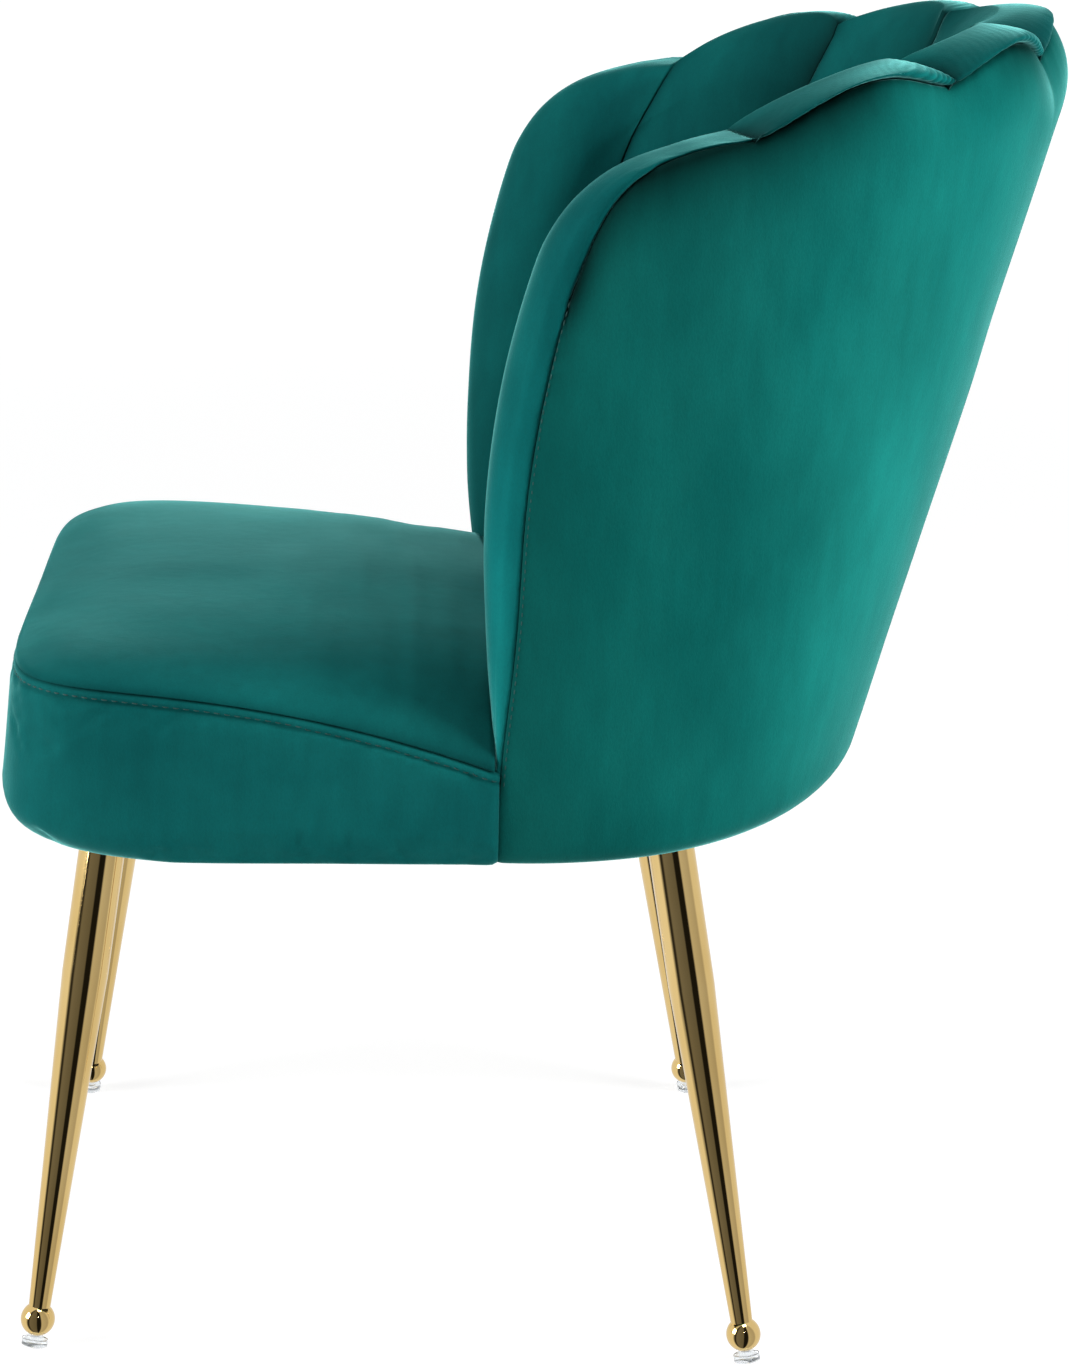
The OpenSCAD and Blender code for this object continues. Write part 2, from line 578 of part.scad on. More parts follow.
module leg_plate(front) {
    inner = plate_side - 2*plate_corner;
    color(gold) on_plate(front, leg_top) linear_extrude(plate_t) difference() {
        union() {
            square([plate_side, inner], center = true);
            square([inner, plate_side], center = true);
            for (x = [-1, 1], y = [-1, 1])
                translate([x*inner/2, y*inner/2]) circle(r = plate_corner, $fn = 32);
        }
        for (x = [-1, 1], y = [-1, 1]) translate([x*screw_out, y*screw_out]) circle(r = 2.6, $fn = 32);
    }
}

module plate_screws() {
    color(steel) for (side = [-1, 1], front = [true, false], x = [-1, 1], y = [-1, 1])
        both_sides(side) on_plate(front, leg_top) translate([x*screw_out, y*screw_out, 0]) {
            translate([0, 0, -2]) cylinder(r = 4.2, h = 2, $fn = 24);
            translate([0, 0, -0.5]) cylinder(r = 2.3, h = 20, $fn = 24);
        }
}

outer_back_cover();
shell_board();
both_sides(1) wing_channel();  // channel_left_wing
both_sides(1) channel(valleys[1], valleys[2]);  // channel_left_outer
both_sides(1) channel(valleys[0], valleys[1]);  // channel_left_inner
channel(-valleys[0], valleys[0]);  // channel_centre
both_sides(-1) channel(valleys[0], valleys[1]);  // channel_right_inner
both_sides(-1) channel(valleys[1], valleys[2]);  // channel_right_outer
both_sides(-1) wing_channel();  // channel_right_wing
seat_cover();
seat_cushion();
seat_core();
seat_border();
webbing_long();
webbing_cross();
dust_cover();
seat_rail_front();
seat_rail_rear();
both_sides(1) seat_rail_side();  // seat_rail_left
both_sides(-1) seat_rail_side();  // seat_rail_right
both_sides(1) corner_block();  // corner_block_left
both_sides(-1) corner_block();  // corner_block_right
shell_bolts();
plate_screws();
both_sides(1) leg_plate(true);  // leg_plate_front_left
both_sides(-1) leg_plate(true);  // leg_plate_front_right
both_sides(1) leg_plate(false);  // leg_plate_rear_left
both_sides(-1) leg_plate(false);  // leg_plate_rear_right
both_sides(1) leg(true);  // leg_front_left
both_sides(-1) leg(true);  // leg_front_right
both_sides(1) leg(false);  // leg_rear_left
both_sides(-1) leg(false);  // leg_rear_right
both_sides(1) ball(true);  // ball_foot_front_left
both_sides(-1) ball(true);  // ball_foot_front_right
both_sides(1) ball(false);  // ball_foot_rear_left
both_sides(-1) ball(false);  // ball_foot_rear_right
both_sides(1) glide(true);  // glide_front_left
both_sides(-1) glide(true);  // glide_front_right
both_sides(1) glide(false);  // glide_rear_left
both_sides(-1) glide(false);  // glide_rear_right
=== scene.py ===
import math

import bpy
import numpy as np
from mathutils import Matrix, Vector


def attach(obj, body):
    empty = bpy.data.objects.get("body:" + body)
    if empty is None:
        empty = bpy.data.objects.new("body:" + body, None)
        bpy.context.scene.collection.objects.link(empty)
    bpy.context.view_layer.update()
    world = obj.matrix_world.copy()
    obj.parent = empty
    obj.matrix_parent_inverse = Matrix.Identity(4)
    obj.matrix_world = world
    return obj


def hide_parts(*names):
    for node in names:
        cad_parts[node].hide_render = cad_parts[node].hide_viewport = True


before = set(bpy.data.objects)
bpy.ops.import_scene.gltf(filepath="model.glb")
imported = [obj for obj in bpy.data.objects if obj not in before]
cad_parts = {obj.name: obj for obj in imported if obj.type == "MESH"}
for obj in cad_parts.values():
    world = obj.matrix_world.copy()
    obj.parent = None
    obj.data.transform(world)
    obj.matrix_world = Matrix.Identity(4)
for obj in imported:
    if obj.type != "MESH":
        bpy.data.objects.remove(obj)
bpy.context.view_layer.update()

# ---------------------------------------------------------------- camera, light and floor

CAMERA_AT = Vector((2.2426, -0.0995, 1.0243))
CAMERA_DOWN = math.radians(15.89)
CAMERA_ROLL = math.radians(0.56)
CAMERA_LENS = 91.6
CAMERA_SHIFT = 0.1147


def make_camera():
    data = bpy.data.cameras.new("camera")
    data.lens = CAMERA_LENS
    data.sensor_width = 36.0
    data.shift_x = CAMERA_SHIFT
    data.clip_start, data.clip_end = 0.05, 60.0
    ahead = Vector((-math.cos(CAMERA_DOWN), 0.0, -math.sin(CAMERA_DOWN)))
    right = Vector((0.0, 1.0, 0.0))
    up = right.cross(ahead)
    c, s = math.cos(CAMERA_ROLL), math.sin(CAMERA_ROLL)
    axes = Matrix((right * c + up * s, up * c - right * s, -ahead)).transposed()
    camera = bpy.data.objects.new("camera", data)
    camera.matrix_world = Matrix.Translation(CAMERA_AT) @ axes.to_4x4()
    bpy.context.collection.objects.link(camera)
    bpy.context.scene.camera = camera


def node_tree(owner):
    owner.use_nodes = True
    tree = owner.node_tree
    tree.nodes.clear()
    return tree


def add(tree, kind, **values):
    """A new node; values are its properties, or the default values of its inputs by name."""
    node = tree.nodes.new(kind)
    for key, value in values.items():
        name = key.replace("_", " ")
        if hasattr(node, key):
            setattr(node, key, value)
        else:
            node.inputs[name].default_value = value
    return node


def seen_rays(tree):
    """1 for camera, glossy and transmission rays, 0 for the others."""
    path = add(tree, "ShaderNodeLightPath")
    value = path.outputs["Is Camera Ray"]
    for name in ("Is Glossy Ray", "Is Transmission Ray"):
        most = add(tree, "ShaderNodeMath", operation="MAXIMUM")
        tree.links.new(value, most.inputs[0])
        tree.links.new(path.outputs[name], most.inputs[1])
        value = most.outputs[0]
    return value


# What polished metal sees around the chair, as (share of the turn from -X through -Y, brightness)
STUDIO_BANDS = ((0.0, 0.90), (0.285, 0.95), (0.300, 0.55), (0.322, 0.03), (0.345, 0.03), (0.365, 0.20),
                (0.488, 0.15), (0.503, 0.012), (0.570, 0.012), (0.588, 0.62), (0.700, 0.50), (0.730, 0.85),
                (1.0, 0.90))
FILL_COLOUR = (0.90, 0.96, 1.0, 1.0)
FILL = 0.10


def make_world():
    world = bpy.data.worlds.new("studio")
    bpy.context.scene.world = world
    tree = node_tree(world)
    path = add(tree, "ShaderNodeLightPath")
    fill = add(tree, "ShaderNodeBackground", Color=FILL_COLOUR, Strength=FILL)
    white = add(tree, "ShaderNodeBackground", Color=(1.0, 1.0, 1.0, 1.0), Strength=1.0)
    place = add(tree, "ShaderNodeTexCoord")
    parts = add(tree, "ShaderNodeSeparateXYZ")
    angle = add(tree, "ShaderNodeMath", operation="ARCTAN2")
    turn = add(tree, "ShaderNodeMath", operation="MULTIPLY_ADD")
    turn.inputs[1].default_value, turn.inputs[2].default_value = 0.5 / math.pi, 0.5
    bands = add(tree, "ShaderNodeBackground", Strength=1.0)
    tree.links.new(place.outputs["Generated"], parts.inputs[0])
    tree.links.new(parts.outputs["Y"], angle.inputs[0])
    tree.links.new(parts.outputs["X"], angle.inputs[1])
    tree.links.new(angle.outputs[0], turn.inputs[0])
    stops = [(at, grey(level)) for at, level in STUDIO_BANDS]
    tree.links.new(ramp(tree, turn.outputs[0], stops), bands.inputs["Color"])
    metal = add(tree, "ShaderNodeMixShader")
    mix = add(tree, "ShaderNodeMixShader")
    out = add(tree, "ShaderNodeOutputWorld")
    tree.links.new(path.outputs["Is Glossy Ray"], metal.inputs[0])
    tree.links.new(white.outputs[0], metal.inputs[1])
    tree.links.new(bands.outputs[0], metal.inputs[2])
    tree.links.new(seen_rays(tree), mix.inputs[0])
    tree.links.new(fill.outputs[0], mix.inputs[1])
    tree.links.new(metal.outputs[0], mix.inputs[2])
    tree.links.new(mix.outputs[0], out.inputs["Surface"])


FLOOR_HALF = 30.0
GLOW_NEAR, GLOW_FAR = (1.5, 1.16), (5.5, 1.44)  # distance from the chair, and the floor's glow there
GLOW_SHARE = 0.72               # how much of the floor's seen colour is glow; the rest takes the shadow


def make_floor():
    mesh = bpy.data.meshes.new("floor")
    half = FLOOR_HALF
    corners = [(-half, -half, 0), (half, -half, 0), (half, half, 0), (-half, half, 0)]
    mesh.from_pydata(corners, [], [(0, 1, 2, 3)])
    floor = bpy.data.objects.new("floor", mesh)
    bpy.context.collection.objects.link(floor)
    material = bpy.data.materials.new("floor")
    tree = node_tree(material)
    plain = add(tree, "ShaderNodeBsdfDiffuse", Color=(0.86, 0.86, 0.86, 1.0))
    glow = add(tree, "ShaderNodeEmission", Color=(1.0, 1.0, 1.0, 1.0))
    # the lamps fade away from the chair, so the backdrop glows more there and stays an even white
    place = add(tree, "ShaderNodeTexCoord")
    away = add(tree, "ShaderNodeVectorMath", operation="LENGTH")
    more = add(tree, "ShaderNodeMapRange")
    for end, (distance, strength) in (("Min", GLOW_NEAR), ("Max", GLOW_FAR)):
        more.inputs["From " + end].default_value = distance
        more.inputs["To " + end].default_value = strength
    tree.links.new(place.outputs["Object"], away.inputs[0])
    tree.links.new(away.outputs["Value"], more.inputs["Value"])
    tree.links.new(more.outputs["Result"], glow.inputs["Strength"])
    share = add(tree, "ShaderNodeMath", operation="MULTIPLY")
    share.inputs[1].default_value = GLOW_SHARE
    mix = add(tree, "ShaderNodeMixShader")
    out = add(tree, "ShaderNodeOutputMaterial")
    tree.links.new(seen_rays(tree), share.inputs[0])
    tree.links.new(share.outputs[0], mix.inputs[0])
    tree.links.new(plain.outputs[0], mix.inputs[1])
    tree.links.new(glow.outputs[0], mix.inputs[2])
    tree.links.new(mix.outputs[0], out.inputs["Surface"])
    mesh.materials.append(material)
    floor.visible_glossy = False


def make_lamp(name, place, aim, size, power):
    data = bpy.data.lights.new(name, "AREA")
    data.shape = "RECTANGLE"
    data.size, data.size_y = size
    data.energy = power
    lamp = bpy.data.objects.new(name, data)
    lamp.location = place
    lamp.rotation_euler = (Vector(aim) - Vector(place)).to_track_quat("-Z", "Y").to_euler()
    bpy.context.collection.objects.link(lamp)
    return lamp


def make_lights():
    make_lamp("front", (0.9, -3.0, 1.25), (0.0, -0.05, 0.50), (1.2, 1.6), 120)
    # the legs mirror the studio, not this lamp
    make_lamp("rear", (0.9, 2.9, 1.15), (0.1, 0.10, 0.50), (1.2, 1.6), 125).visible_glossy = False
    make_lamp("top", (0.5, 0.2, 2.8), (0.0, 0.0, 0.5), (1.0, 1.0), 34)
    make_lamp("spark", (2.7, 0.15, 1.75), (0.1, 0.0, 0.3), (0.16, 0.16), 3)


# ---------------------------------------------------------------- materials


def principled(name, **sockets):
    material = bpy.data.materials.new(name)
    tree = node_tree(material)
    shader = add(tree, "ShaderNodeBsdfPrincipled", **sockets)
    out = add(tree, "ShaderNodeOutputMaterial")
    tree.links.new(shader.outputs[0], out.inputs["Surface"])
    return material, tree, shader


def object_noise(tree, scale, stretch=(1, 1, 1), detail=3.0, roughness=0.55):
    place = add(tree, "ShaderNodeTexCoord")
    turn = add(tree, "ShaderNodeMapping", Scale=stretch)
    noise = add(tree, "ShaderNodeTexNoise", Scale=scale, Detail=detail, Roughness=roughness)
    tree.links.new(place.outputs["Object"], turn.inputs["Vector"])
    tree.links.new(turn.outputs["Vector"], noise.inputs["Vector"])
    return noise.outputs["Fac"]


def ramp(tree, source, stops):
    node = add(tree, "ShaderNodeValToRGB")
    tree.links.new(source, node.inputs[0])
    while len(node.color_ramp.elements) < len(stops):
        node.color_ramp.elements.new(0.5)
    for element, (at, colour) in zip(node.color_ramp.elements, stops):
        element.position = at
        element.color = (*colour, 1.0)
    return node.outputs[0]


def grey(value):
    return (value, value, value)


def tint(tree, shader, source, stops, socket="Base Color"):
    tree.links.new(ramp(tree, source, stops), shader.inputs[socket])


def mix_colour(tree, factor, a, b, kind):
    node = add(tree, "ShaderNodeMix", data_type="RGBA", blend_type=kind)
    for socket, value in ((node.inputs[0], factor), (node.inputs[6], a), (node.inputs[7], b)):
        if isinstance(value, bpy.types.NodeSocket):
            tree.links.new(value, socket)
        else:
            socket.default_value = value
    return node.outputs[2]


def bump(tree, shader, source, distance, strength, under=None):
    node = add(tree, "ShaderNodeBump", Distance=distance, Strength=strength)
    tree.links.new(source, node.inputs["Height"])
    if under is not None:
        tree.links.new(under, node.inputs["Normal"])
    tree.links.new(node.outputs[0], shader.inputs["Normal"])
    return node.outputs[0]


SHEEN = 0.85


def velvet(name, dark, light, stretch):
    """Short-pile velvet: brushed patches that differ in tone, fine pile, and a soft sheen at grazing angles.

    A mesh attribute of painted light and shade scales colour and sheen: lower where seams, folds, valleys and
    the rim are painted in shade, and above 1 where the cloth is painted as catching more light; it also holds
    a little random tone."""
    material, tree, shader = principled(name, Roughness=0.9)
    shader.inputs["Specular IOR Level"].default_value = 0.04
    shader.inputs["Sheen Roughness"].default_value = 0.27
    shader.inputs["Sheen Tint"].default_value = (0.26, 0.78, 0.74, 1.0)
    painted_light_and_tone = add(tree, "ShaderNodeAttribute", attribute_name="painted_light_and_tone")
    broad = object_noise(tree, 6.0, stretch, 4.0, 0.6)
    patches = ramp(tree, broad, [(0.34, dark), (0.66, light)])
    pile = object_noise(tree, 900.0, (1, 1, 0.5), 2.0, 0.7)
    brushed = object_noise(tree, 85.0, (1, 1, 0.25), 5.0, 0.65)
    grain = ramp(tree, pile, [(0.25, grey(0.84)), (0.75, grey(1.0))])
    strokes = ramp(tree, brushed, [(0.32, grey(0.90)), (0.70, grey(1.05))])
    colour = mix_colour(tree, 1.0, mix_colour(tree, 1.0, patches, grain, "MULTIPLY"), strokes, "MULTIPLY")
    # painted light and shade: the colour times the mesh attribute
    colour = mix_colour(tree, 1.0, colour, painted_light_and_tone.outputs["Color"], "MULTIPLY")
    tree.links.new(colour, shader.inputs["Base Color"])
    # the sheen's weight scaled by the same painted light and shade
    weight = add(tree, "ShaderNodeMath", operation="MULTIPLY")
    weight.inputs[1].default_value = SHEEN
    tree.links.new(painted_light_and_tone.outputs["Fac"], weight.inputs[0])
    tree.links.new(weight.outputs[0], shader.inputs["Sheen Weight"])
    under = bump(tree, shader, brushed, 0.0005, 0.35)
    bump(tree, shader, pile, 0.00025, 0.5, under)
    return material


def gold():
    material, tree, shader = principled("polished_gold", Metallic=1.0)
    film = object_noise(tree, 30.0, (1, 1, 0.3), 4.0)
    tint(tree, shader, film, [(0.3, (0.74, 0.52, 0.20)), (0.7, (0.82, 0.60, 0.26))])
    haze = object_noise(tree, 220.0, (1, 1, 0.15), 5.0)
    tint(tree, shader, haze, [(0.3, grey(0.045)), (0.75, grey(0.075))], "Roughness")
    bump(tree, shader, haze, 0.00002, 0.2)
    return material


def clear_plastic():
    material, tree, shader = principled("clear_plastic", Roughness=0.06, IOR=1.49)
    shader.inputs["Transmission Weight"].default_value = 0.92
    flow = object_noise(tree, 160.0)
    tint(tree, shader, flow, [(0.3, (0.80, 0.84, 0.87)), (0.7, (0.92, 0.95, 0.97))])
    bump(tree, shader, flow, 0.0001, 0.3)
    return material


def plywood():
    material, tree, shader = principled("plywood", Roughness=0.6)
    grain = object_noise(tree, 26.0, (1, 1, 0.08), 6.0)
    tint(tree, shader, grain, [(0.3, (0.42, 0.28, 0.15)), (0.7, (0.68, 0.50, 0.31))])
    bump(tree, shader, grain, 0.0003, 0.5)
    return material


def foam():
    material, tree, shader = principled("foam", Roughness=0.95)
    cells = object_noise(tree, 900.0, detail=2.0)
    tint(tree, shader, cells, [(0.3, (0.62, 0.55, 0.34)), (0.7, (0.82, 0.76, 0.52))])
    bump(tree, shader, cells, 0.0006, 0.6)
    return material


def black_cloth():
    material, tree, shader = principled("black_cloth", Roughness=0.9)
    weave = object_noise(tree, 700.0, (1, 4, 1), 2.0)
    tint(tree, shader, weave, [(0.3, grey(0.012)), (0.7, grey(0.035))])
    bump(tree, shader, weave, 0.0004, 0.7)
    return material


def zinc():
    material, tree, shader = principled("zinc_plate", Metallic=1.0)
    bloom = object_noise(tree, 240.0, detail=4.0)
    tint(tree, shader, bloom, [(0.3, grey(0.42)), (0.7, grey(0.62))])
    tint(tree, shader, bloom, [(0.3, grey(0.28)), (0.7, grey(0.42))], "Roughness")
    return material


make_camera()
make_world()
make_floor()
make_lights()
bpy.context.scene.view_settings.view_transform = "Standard"

# one velvet in three tones; the petal copy is darker, painted shade for the inside of the shell
VELVET_OUTER = velvet("velvet_outer", (0.0018, 0.090, 0.080), (0.0052, 0.142, 0.124), (1, 1, 0.45))
VELVET_PETAL = velvet("velvet_petal", (0.0010, 0.064, 0.064), (0.0032, 0.108, 0.102), (1, 1, 0.35))
VELVET_SEAT = velvet("velvet_seat", (0.0016, 0.076, 0.075), (0.0048, 0.126, 0.120), (1, 0.5, 1))


def thread():
    material, tree, shader = principled("thread", Roughness=0.7)
    twist = object_noise(tree, 1400.0, (1, 1, 1), 2.0)
    tint(tree, shader, twist, [(0.3, (0.001, 0.030, 0.028)), (0.7, (0.003, 0.062, 0.056))])
    bump(tree, shader, twist, 0.0002, 0.6)
    return material


THREAD = thread()
CAD_LOOKS = {
    "leg_": gold(),
    "glide_": clear_plastic(),
    "shell_board": plywood(),
    "seat_core": foam(),
    "webbing": black_cloth(),
    "shell_bolts": zinc(),
}
CAD_LOOKS["ball_"] = CAD_LOOKS["leg_"]
CAD_LOOKS["dust_"] = CAD_LOOKS["webbing"]
CAD_LOOKS["plate_screws"] = CAD_LOOKS["shell_bolts"]
CAD_LOOKS["seat_rail"] = CAD_LOOKS["corner_block"] = CAD_LOOKS["shell_board"]
for name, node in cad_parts.items():
    for start, look in CAD_LOOKS.items():
        if name.startswith(start):
            node.data.materials.clear()
            node.data.materials.append(look)

# ---------------------------------------------------------------- grids of points, in millimetres

MM = 0.001


def lerp(a, b, u):
    return a + (b - a) * u


def clamp01(x):
    return np.clip(x, 0.0, 1.0)


def sin(a):
    return np.sin(np.radians(a))


def cos(a):
    return np.cos(np.radians(a))


def noise(x, y, seed):
    """Smooth noise from -1 to 1 over a plane, the same on each run; callers divide by a wavelength in mm."""
    table = np.random.RandomState(seed).uniform(-1, 1, (128, 128))
    x, y = np.broadcast_arrays(np.asarray(x, float), np.asarray(y, float))
    i, j = np.floor(x).astype(int), np.floor(y).astype(int)
    fx, fy = x - i, y - j
    fx, fy = fx * fx * (3 - 2 * fx), fy * fy * (3 - 2 * fy)
    at = lambda a, b: table[(i + a) % 128, (j + b) % 128]
    return lerp(lerp(at(0, 0), at(1, 0), fx), lerp(at(0, 1), at(1, 1), fx), fy)


def even(points, count):
    """The polyline's points again, at equal steps along it."""
    points = np.asarray(points, float)
    along = np.concatenate([[0], np.cumsum(np.linalg.norm(np.diff(points, axis=0), axis=1))])
    at = np.linspace(0, along[-1], count)
    return np.stack([np.interp(at, along, points[:, k]) for k in range(points.shape[1])], 1)


def soften(grid, times, along=(True, True)):
    """The grid with its inner points eased towards their neighbours; its edges stay."""
    grid = grid.copy()
    for _ in range(times):
        if along[0]:
            grid[1:-1] += 0.25 * (grid[:-2] + grid[2:] - 2 * grid[1:-1])
        if along[1]:
            grid[:, 1:-1] += 0.25 * (grid[:, :-2] + grid[:, 2:] - 2 * grid[:, 1:-1])
    return grid


def resized(grid, rows, cols):
    """A smooth grid sampled again at that many rows and columns."""
    for axis, count in ((0, rows), (1, cols)):
        g = np.moveaxis(grid, axis, 0)
        at = np.linspace(0, len(g) - 1, count)
        i = np.minimum(at.astype(int), len(g) - 2)
        u = (at - i).reshape((-1,) + (1,) * (g.ndim - 1))
        p0, p1, p2, p3 = g[np.maximum(i - 1, 0)], g[i], g[i + 1], g[np.minimum(i + 2, len(g) - 1)]
        g = 0.5 * (2 * p1 + (p2 - p0) * u + (2 * p0 - 5 * p1 + 4 * p2 - p3) * u ** 2
                   + (3 * p1 - p0 - 3 * p2 + p3) * u ** 3)
        grid = np.moveaxis(g, 0, axis)
    return grid


def grid_normals(grid):
    n = np.cross(np.gradient(grid, axis=1), np.gradient(grid, axis=0))
    return n / np.maximum(np.linalg.norm(n, axis=2, keepdims=True), 1e-9)


def row_lengths(grid):
    """Distance of each point along its column, from the first row."""
    step = np.linalg.norm(np.diff(grid, axis=0), axis=2)
    return np.concatenate([np.zeros((1, grid.shape[1])), np.cumsum(step, axis=0)])


def col_lengths(grid):
    return row_lengths(grid.transpose(1, 0, 2)).T


def to_sides(grid):
    """Distance of each point along its row to the nearer side of the grid."""
    across = col_lengths(grid)
    return np.minimum(across, across[:, -1:] - across)


def volume(points, faces):
    a, b, c, d = (points[faces[:, k]] for k in range(4))
    return np.einsum("ij,ij->", a, np.cross(b, c)) + np.einsum("ij,ij->", a, np.cross(c, d))


def mesh_object(name, points, faces, material=None, painted_light_and_tone=None):
    mesh = bpy.data.meshes.new(name)
    mesh.vertices.add(len(points))
    mesh.vertices.foreach_set("co", (points * MM).astype(np.float32).ravel())
    mesh.loops.add(faces.size)
    mesh.loops.foreach_set("vertex_index", faces.astype(np.int32).ravel())
    mesh.polygons.add(len(faces))
    mesh.polygons.foreach_set("loop_start", np.arange(0, faces.size, faces.shape[1], dtype=np.int32))
    mesh.update(calc_edges=True)
    mesh.polygons.foreach_set("use_smooth", [True] * len(faces))
    if painted_light_and_tone is not None:
        mesh.attributes.new("painted_light_and_tone", "FLOAT", "POINT").data.foreach_set("value", painted_light_and_tone.astype(np.float32).ravel())
    if material:
        mesh.materials.append(material)
    mesh.validate()
    piece = bpy.data.objects.new(name, mesh)
    bpy.context.collection.objects.link(piece)
    return piece


def slab(name, front, back, material=None, painted_light_and_tone=None):
    """A closed mesh between two grids whose rows and columns match."""
    rows, cols = front.shape[:2]
    n = rows * cols
    ids = np.arange(n).reshape(rows, cols)
    a, b, c, d = ids[:-1, :-1], ids[:-1, 1:], ids[1:, 1:], ids[1:, :-1]
    skin = np.stack([a, b, c, d], -1).reshape(-1, 4)
    faces = [skin, skin[:, ::-1] + n]
    for edge in (ids[0, ::-1], ids[:, 0], ids[-1], ids[::-1, -1]):
        faces.append(np.stack([edge[:-1], edge[1:], edge[1:] + n, edge[:-1] + n], 1))
    if painted_light_and_tone is not None:
        painted_light_and_tone = np.concatenate([painted_light_and_tone.ravel(), np.full(n, painted_light_and_tone.min())])
    points, faces = np.concatenate([front.reshape(-1, 3), back.reshape(-1, 3)]), np.concatenate(faces)
    if volume(points, faces) < 0:
        faces = faces[:, ::-1]
    return mesh_object(name, points, faces, material, painted_light_and_tone)


# ---------------------------------------------------------------- cloth simulation of the pads

CLOTH_STEP = 6.0                # spacing of the simulated cloth
CLOTH_FRAMES = 20
CLOTH_PRESSURE = 4.0
CLOTH_EASE = 40                 # rounds of smoothing that take the coarse cloth's wrinkles out


def loosen(shapes):
    """How far cloth over each pad moves when filled, as grids the size of the pads' fronts.

    shapes holds (front, back, held, spare, most): the cloth has that share to spare, is held where held is
    true, and moves no further than most."""
    moves = [np.zeros_like(front) for front, *_ in shapes]
    jobs = []
    for front, back, held, spare, most in shapes:
        rows = int(row_lengths(front)[-1].mean() / CLOTH_STEP) + 2
        cols = int(col_lengths(front)[:, -1].mean() / CLOTH_STEP) + 2
        coarse, under = resized(front, rows, cols), resized(back, rows, cols)
        fixed = resized(held.astype(float)[..., None], rows, cols)[..., 0] > 0.5
        fixed[0] = fixed[-1] = True
        fixed[:, 0] = fixed[:, -1] = True
        piece = slab("cloth", coarse, under)
        pins = piece.vertex_groups.new(name="held")
        pins.add(np.flatnonzero(fixed.ravel()).tolist(), 1.0, "REPLACE")
        pins.add(list(range(rows * cols, 2 * rows * cols)), 1.0, "REPLACE")
        cloth = piece.modifiers.new("cloth", "CLOTH")
        settings = cloth.settings
        settings.quality = 5
        settings.mass = 0.3
        settings.tension_stiffness = settings.compression_stiffness = 20
        settings.shear_stiffness = 8
        settings.bending_stiffness = 0.4
        settings.use_pressure = True
        settings.uniform_pressure_force = CLOTH_PRESSURE
        settings.shrink_min = -spare
        settings.vertex_group_mass = "held"
        settings.effector_weights.gravity = 0
        cloth.collision_settings.use_collision = False
        cloth.point_cache.frame_start, cloth.point_cache.frame_end = 1, CLOTH_FRAMES
        jobs.append((piece, coarse))
    scene = bpy.context.scene
    for step in range(1, CLOTH_FRAMES + 1):
        scene.frame_set(step)
    graph = bpy.context.evaluated_depsgraph_get()
    for k, (piece, coarse) in enumerate(jobs):
        mesh = piece.evaluated_get(graph).to_mesh()
        spots = np.empty(len(mesh.vertices) * 3, np.float32)
        mesh.vertices.foreach_get("co", spots)
        move = spots.reshape(-1, 3)[:coarse[..., 0].size].reshape(coarse.shape) / MM - coarse
        size = np.linalg.norm(move, axis=2, keepdims=True)
        most = shapes[k][4]
        move *= np.minimum(1, most / np.maximum(size, 1e-6))
        moves[k] = resized(move, *shapes[k][0].shape[:2])
        bpy.data.objects.remove(piece)
    scene.frame_set(1)
    return moves


# ---------------------------------------------------------------- the shell's own surfaces

BASE = 337.0                    # height of the body's underside
ROLL, SIDE_ROLL = 30.0, 14.0    # radius of the body's bottom edge in front and behind, and at its sides
RIM = 831.0
CLOTH = 4.0                     # thickness of the outer panel
BOARD, BOARD_GAP = 9.0, 2.15
PAD_BACK = CLOTH + BOARD + BOARD_GAP
PAD_FOOT = 396.0
VALLEYS = (17.0, 43.5, 69.0)    # angles of the valleys between the lobes, on each side
SEAM = (RIM - 19, RIM - 19, RIM - 26, RIM - 51)       # height of the rim seam at the centre and the valleys
SEAM_RISE = (19.0, 17.0, 18.0)
CREST = (RIM - 5, RIM - 5, RIM - 19, RIM - 52)
CREST_RISE = (12.0, 12.5, 17.5)
LEAN = (0.0, 8.0, 5.5, 7.5)     # how far the centre and each valley lean outwards below the rim, in degrees
CORNER_Z = RIM - 141
CORNER_TURN = 19.0
CORNER_BEND = ((-3.1, 50.0), (-3.8, 84.0))
FRONT_SWEEP = 6.4
SEAM_BOW, BOW_Z, BOW_REACH = 1.2, 480.0, 75.0         # how far back the wing's seam bows just above the seat
RIM_REACH = 45.0
DEG_MM = 5.4                    # length of one degree of the shell at its sides

PAD_FULL, PAD_VALLEY, VALLEY_DEEP = 68.0, 54.0, 18.0
PAD_TURN = 45.0
FILL_REACH, RIM_FILL = 150.0, 0.75
CREASE = 2.2
PAD_GAP = 0.07
BOARD_DROP = 10.0


def half_w(z):
    return 242.5 + 0.049 * (z - BASE)


def mid_y(z):
    return -10 + 0.022 * (z - BASE)


def depth(z):
    return 211 + 0.275 * (z - BASE) - mid_y(z)


def inward(phi, z):
    v = np.stack([sin(phi) / half_w(z), cos(phi) / depth(z), 0 * (phi + z)], -1)
    return -v / np.linalg.norm(v, axis=-1, keepdims=True)


def on_shell(phi, z, t):
    """The point at angle phi and height z, t inside the outer surface."""
    phi, z, t = np.broadcast_arrays(np.asarray(phi, float), np.asarray(z, float), np.asarray(t, float))
    point = np.stack([half_w(z) * sin(phi), mid_y(z) + depth(z) * cos(phi), z], -1)
    return point + t[..., None] * inward(phi, z)


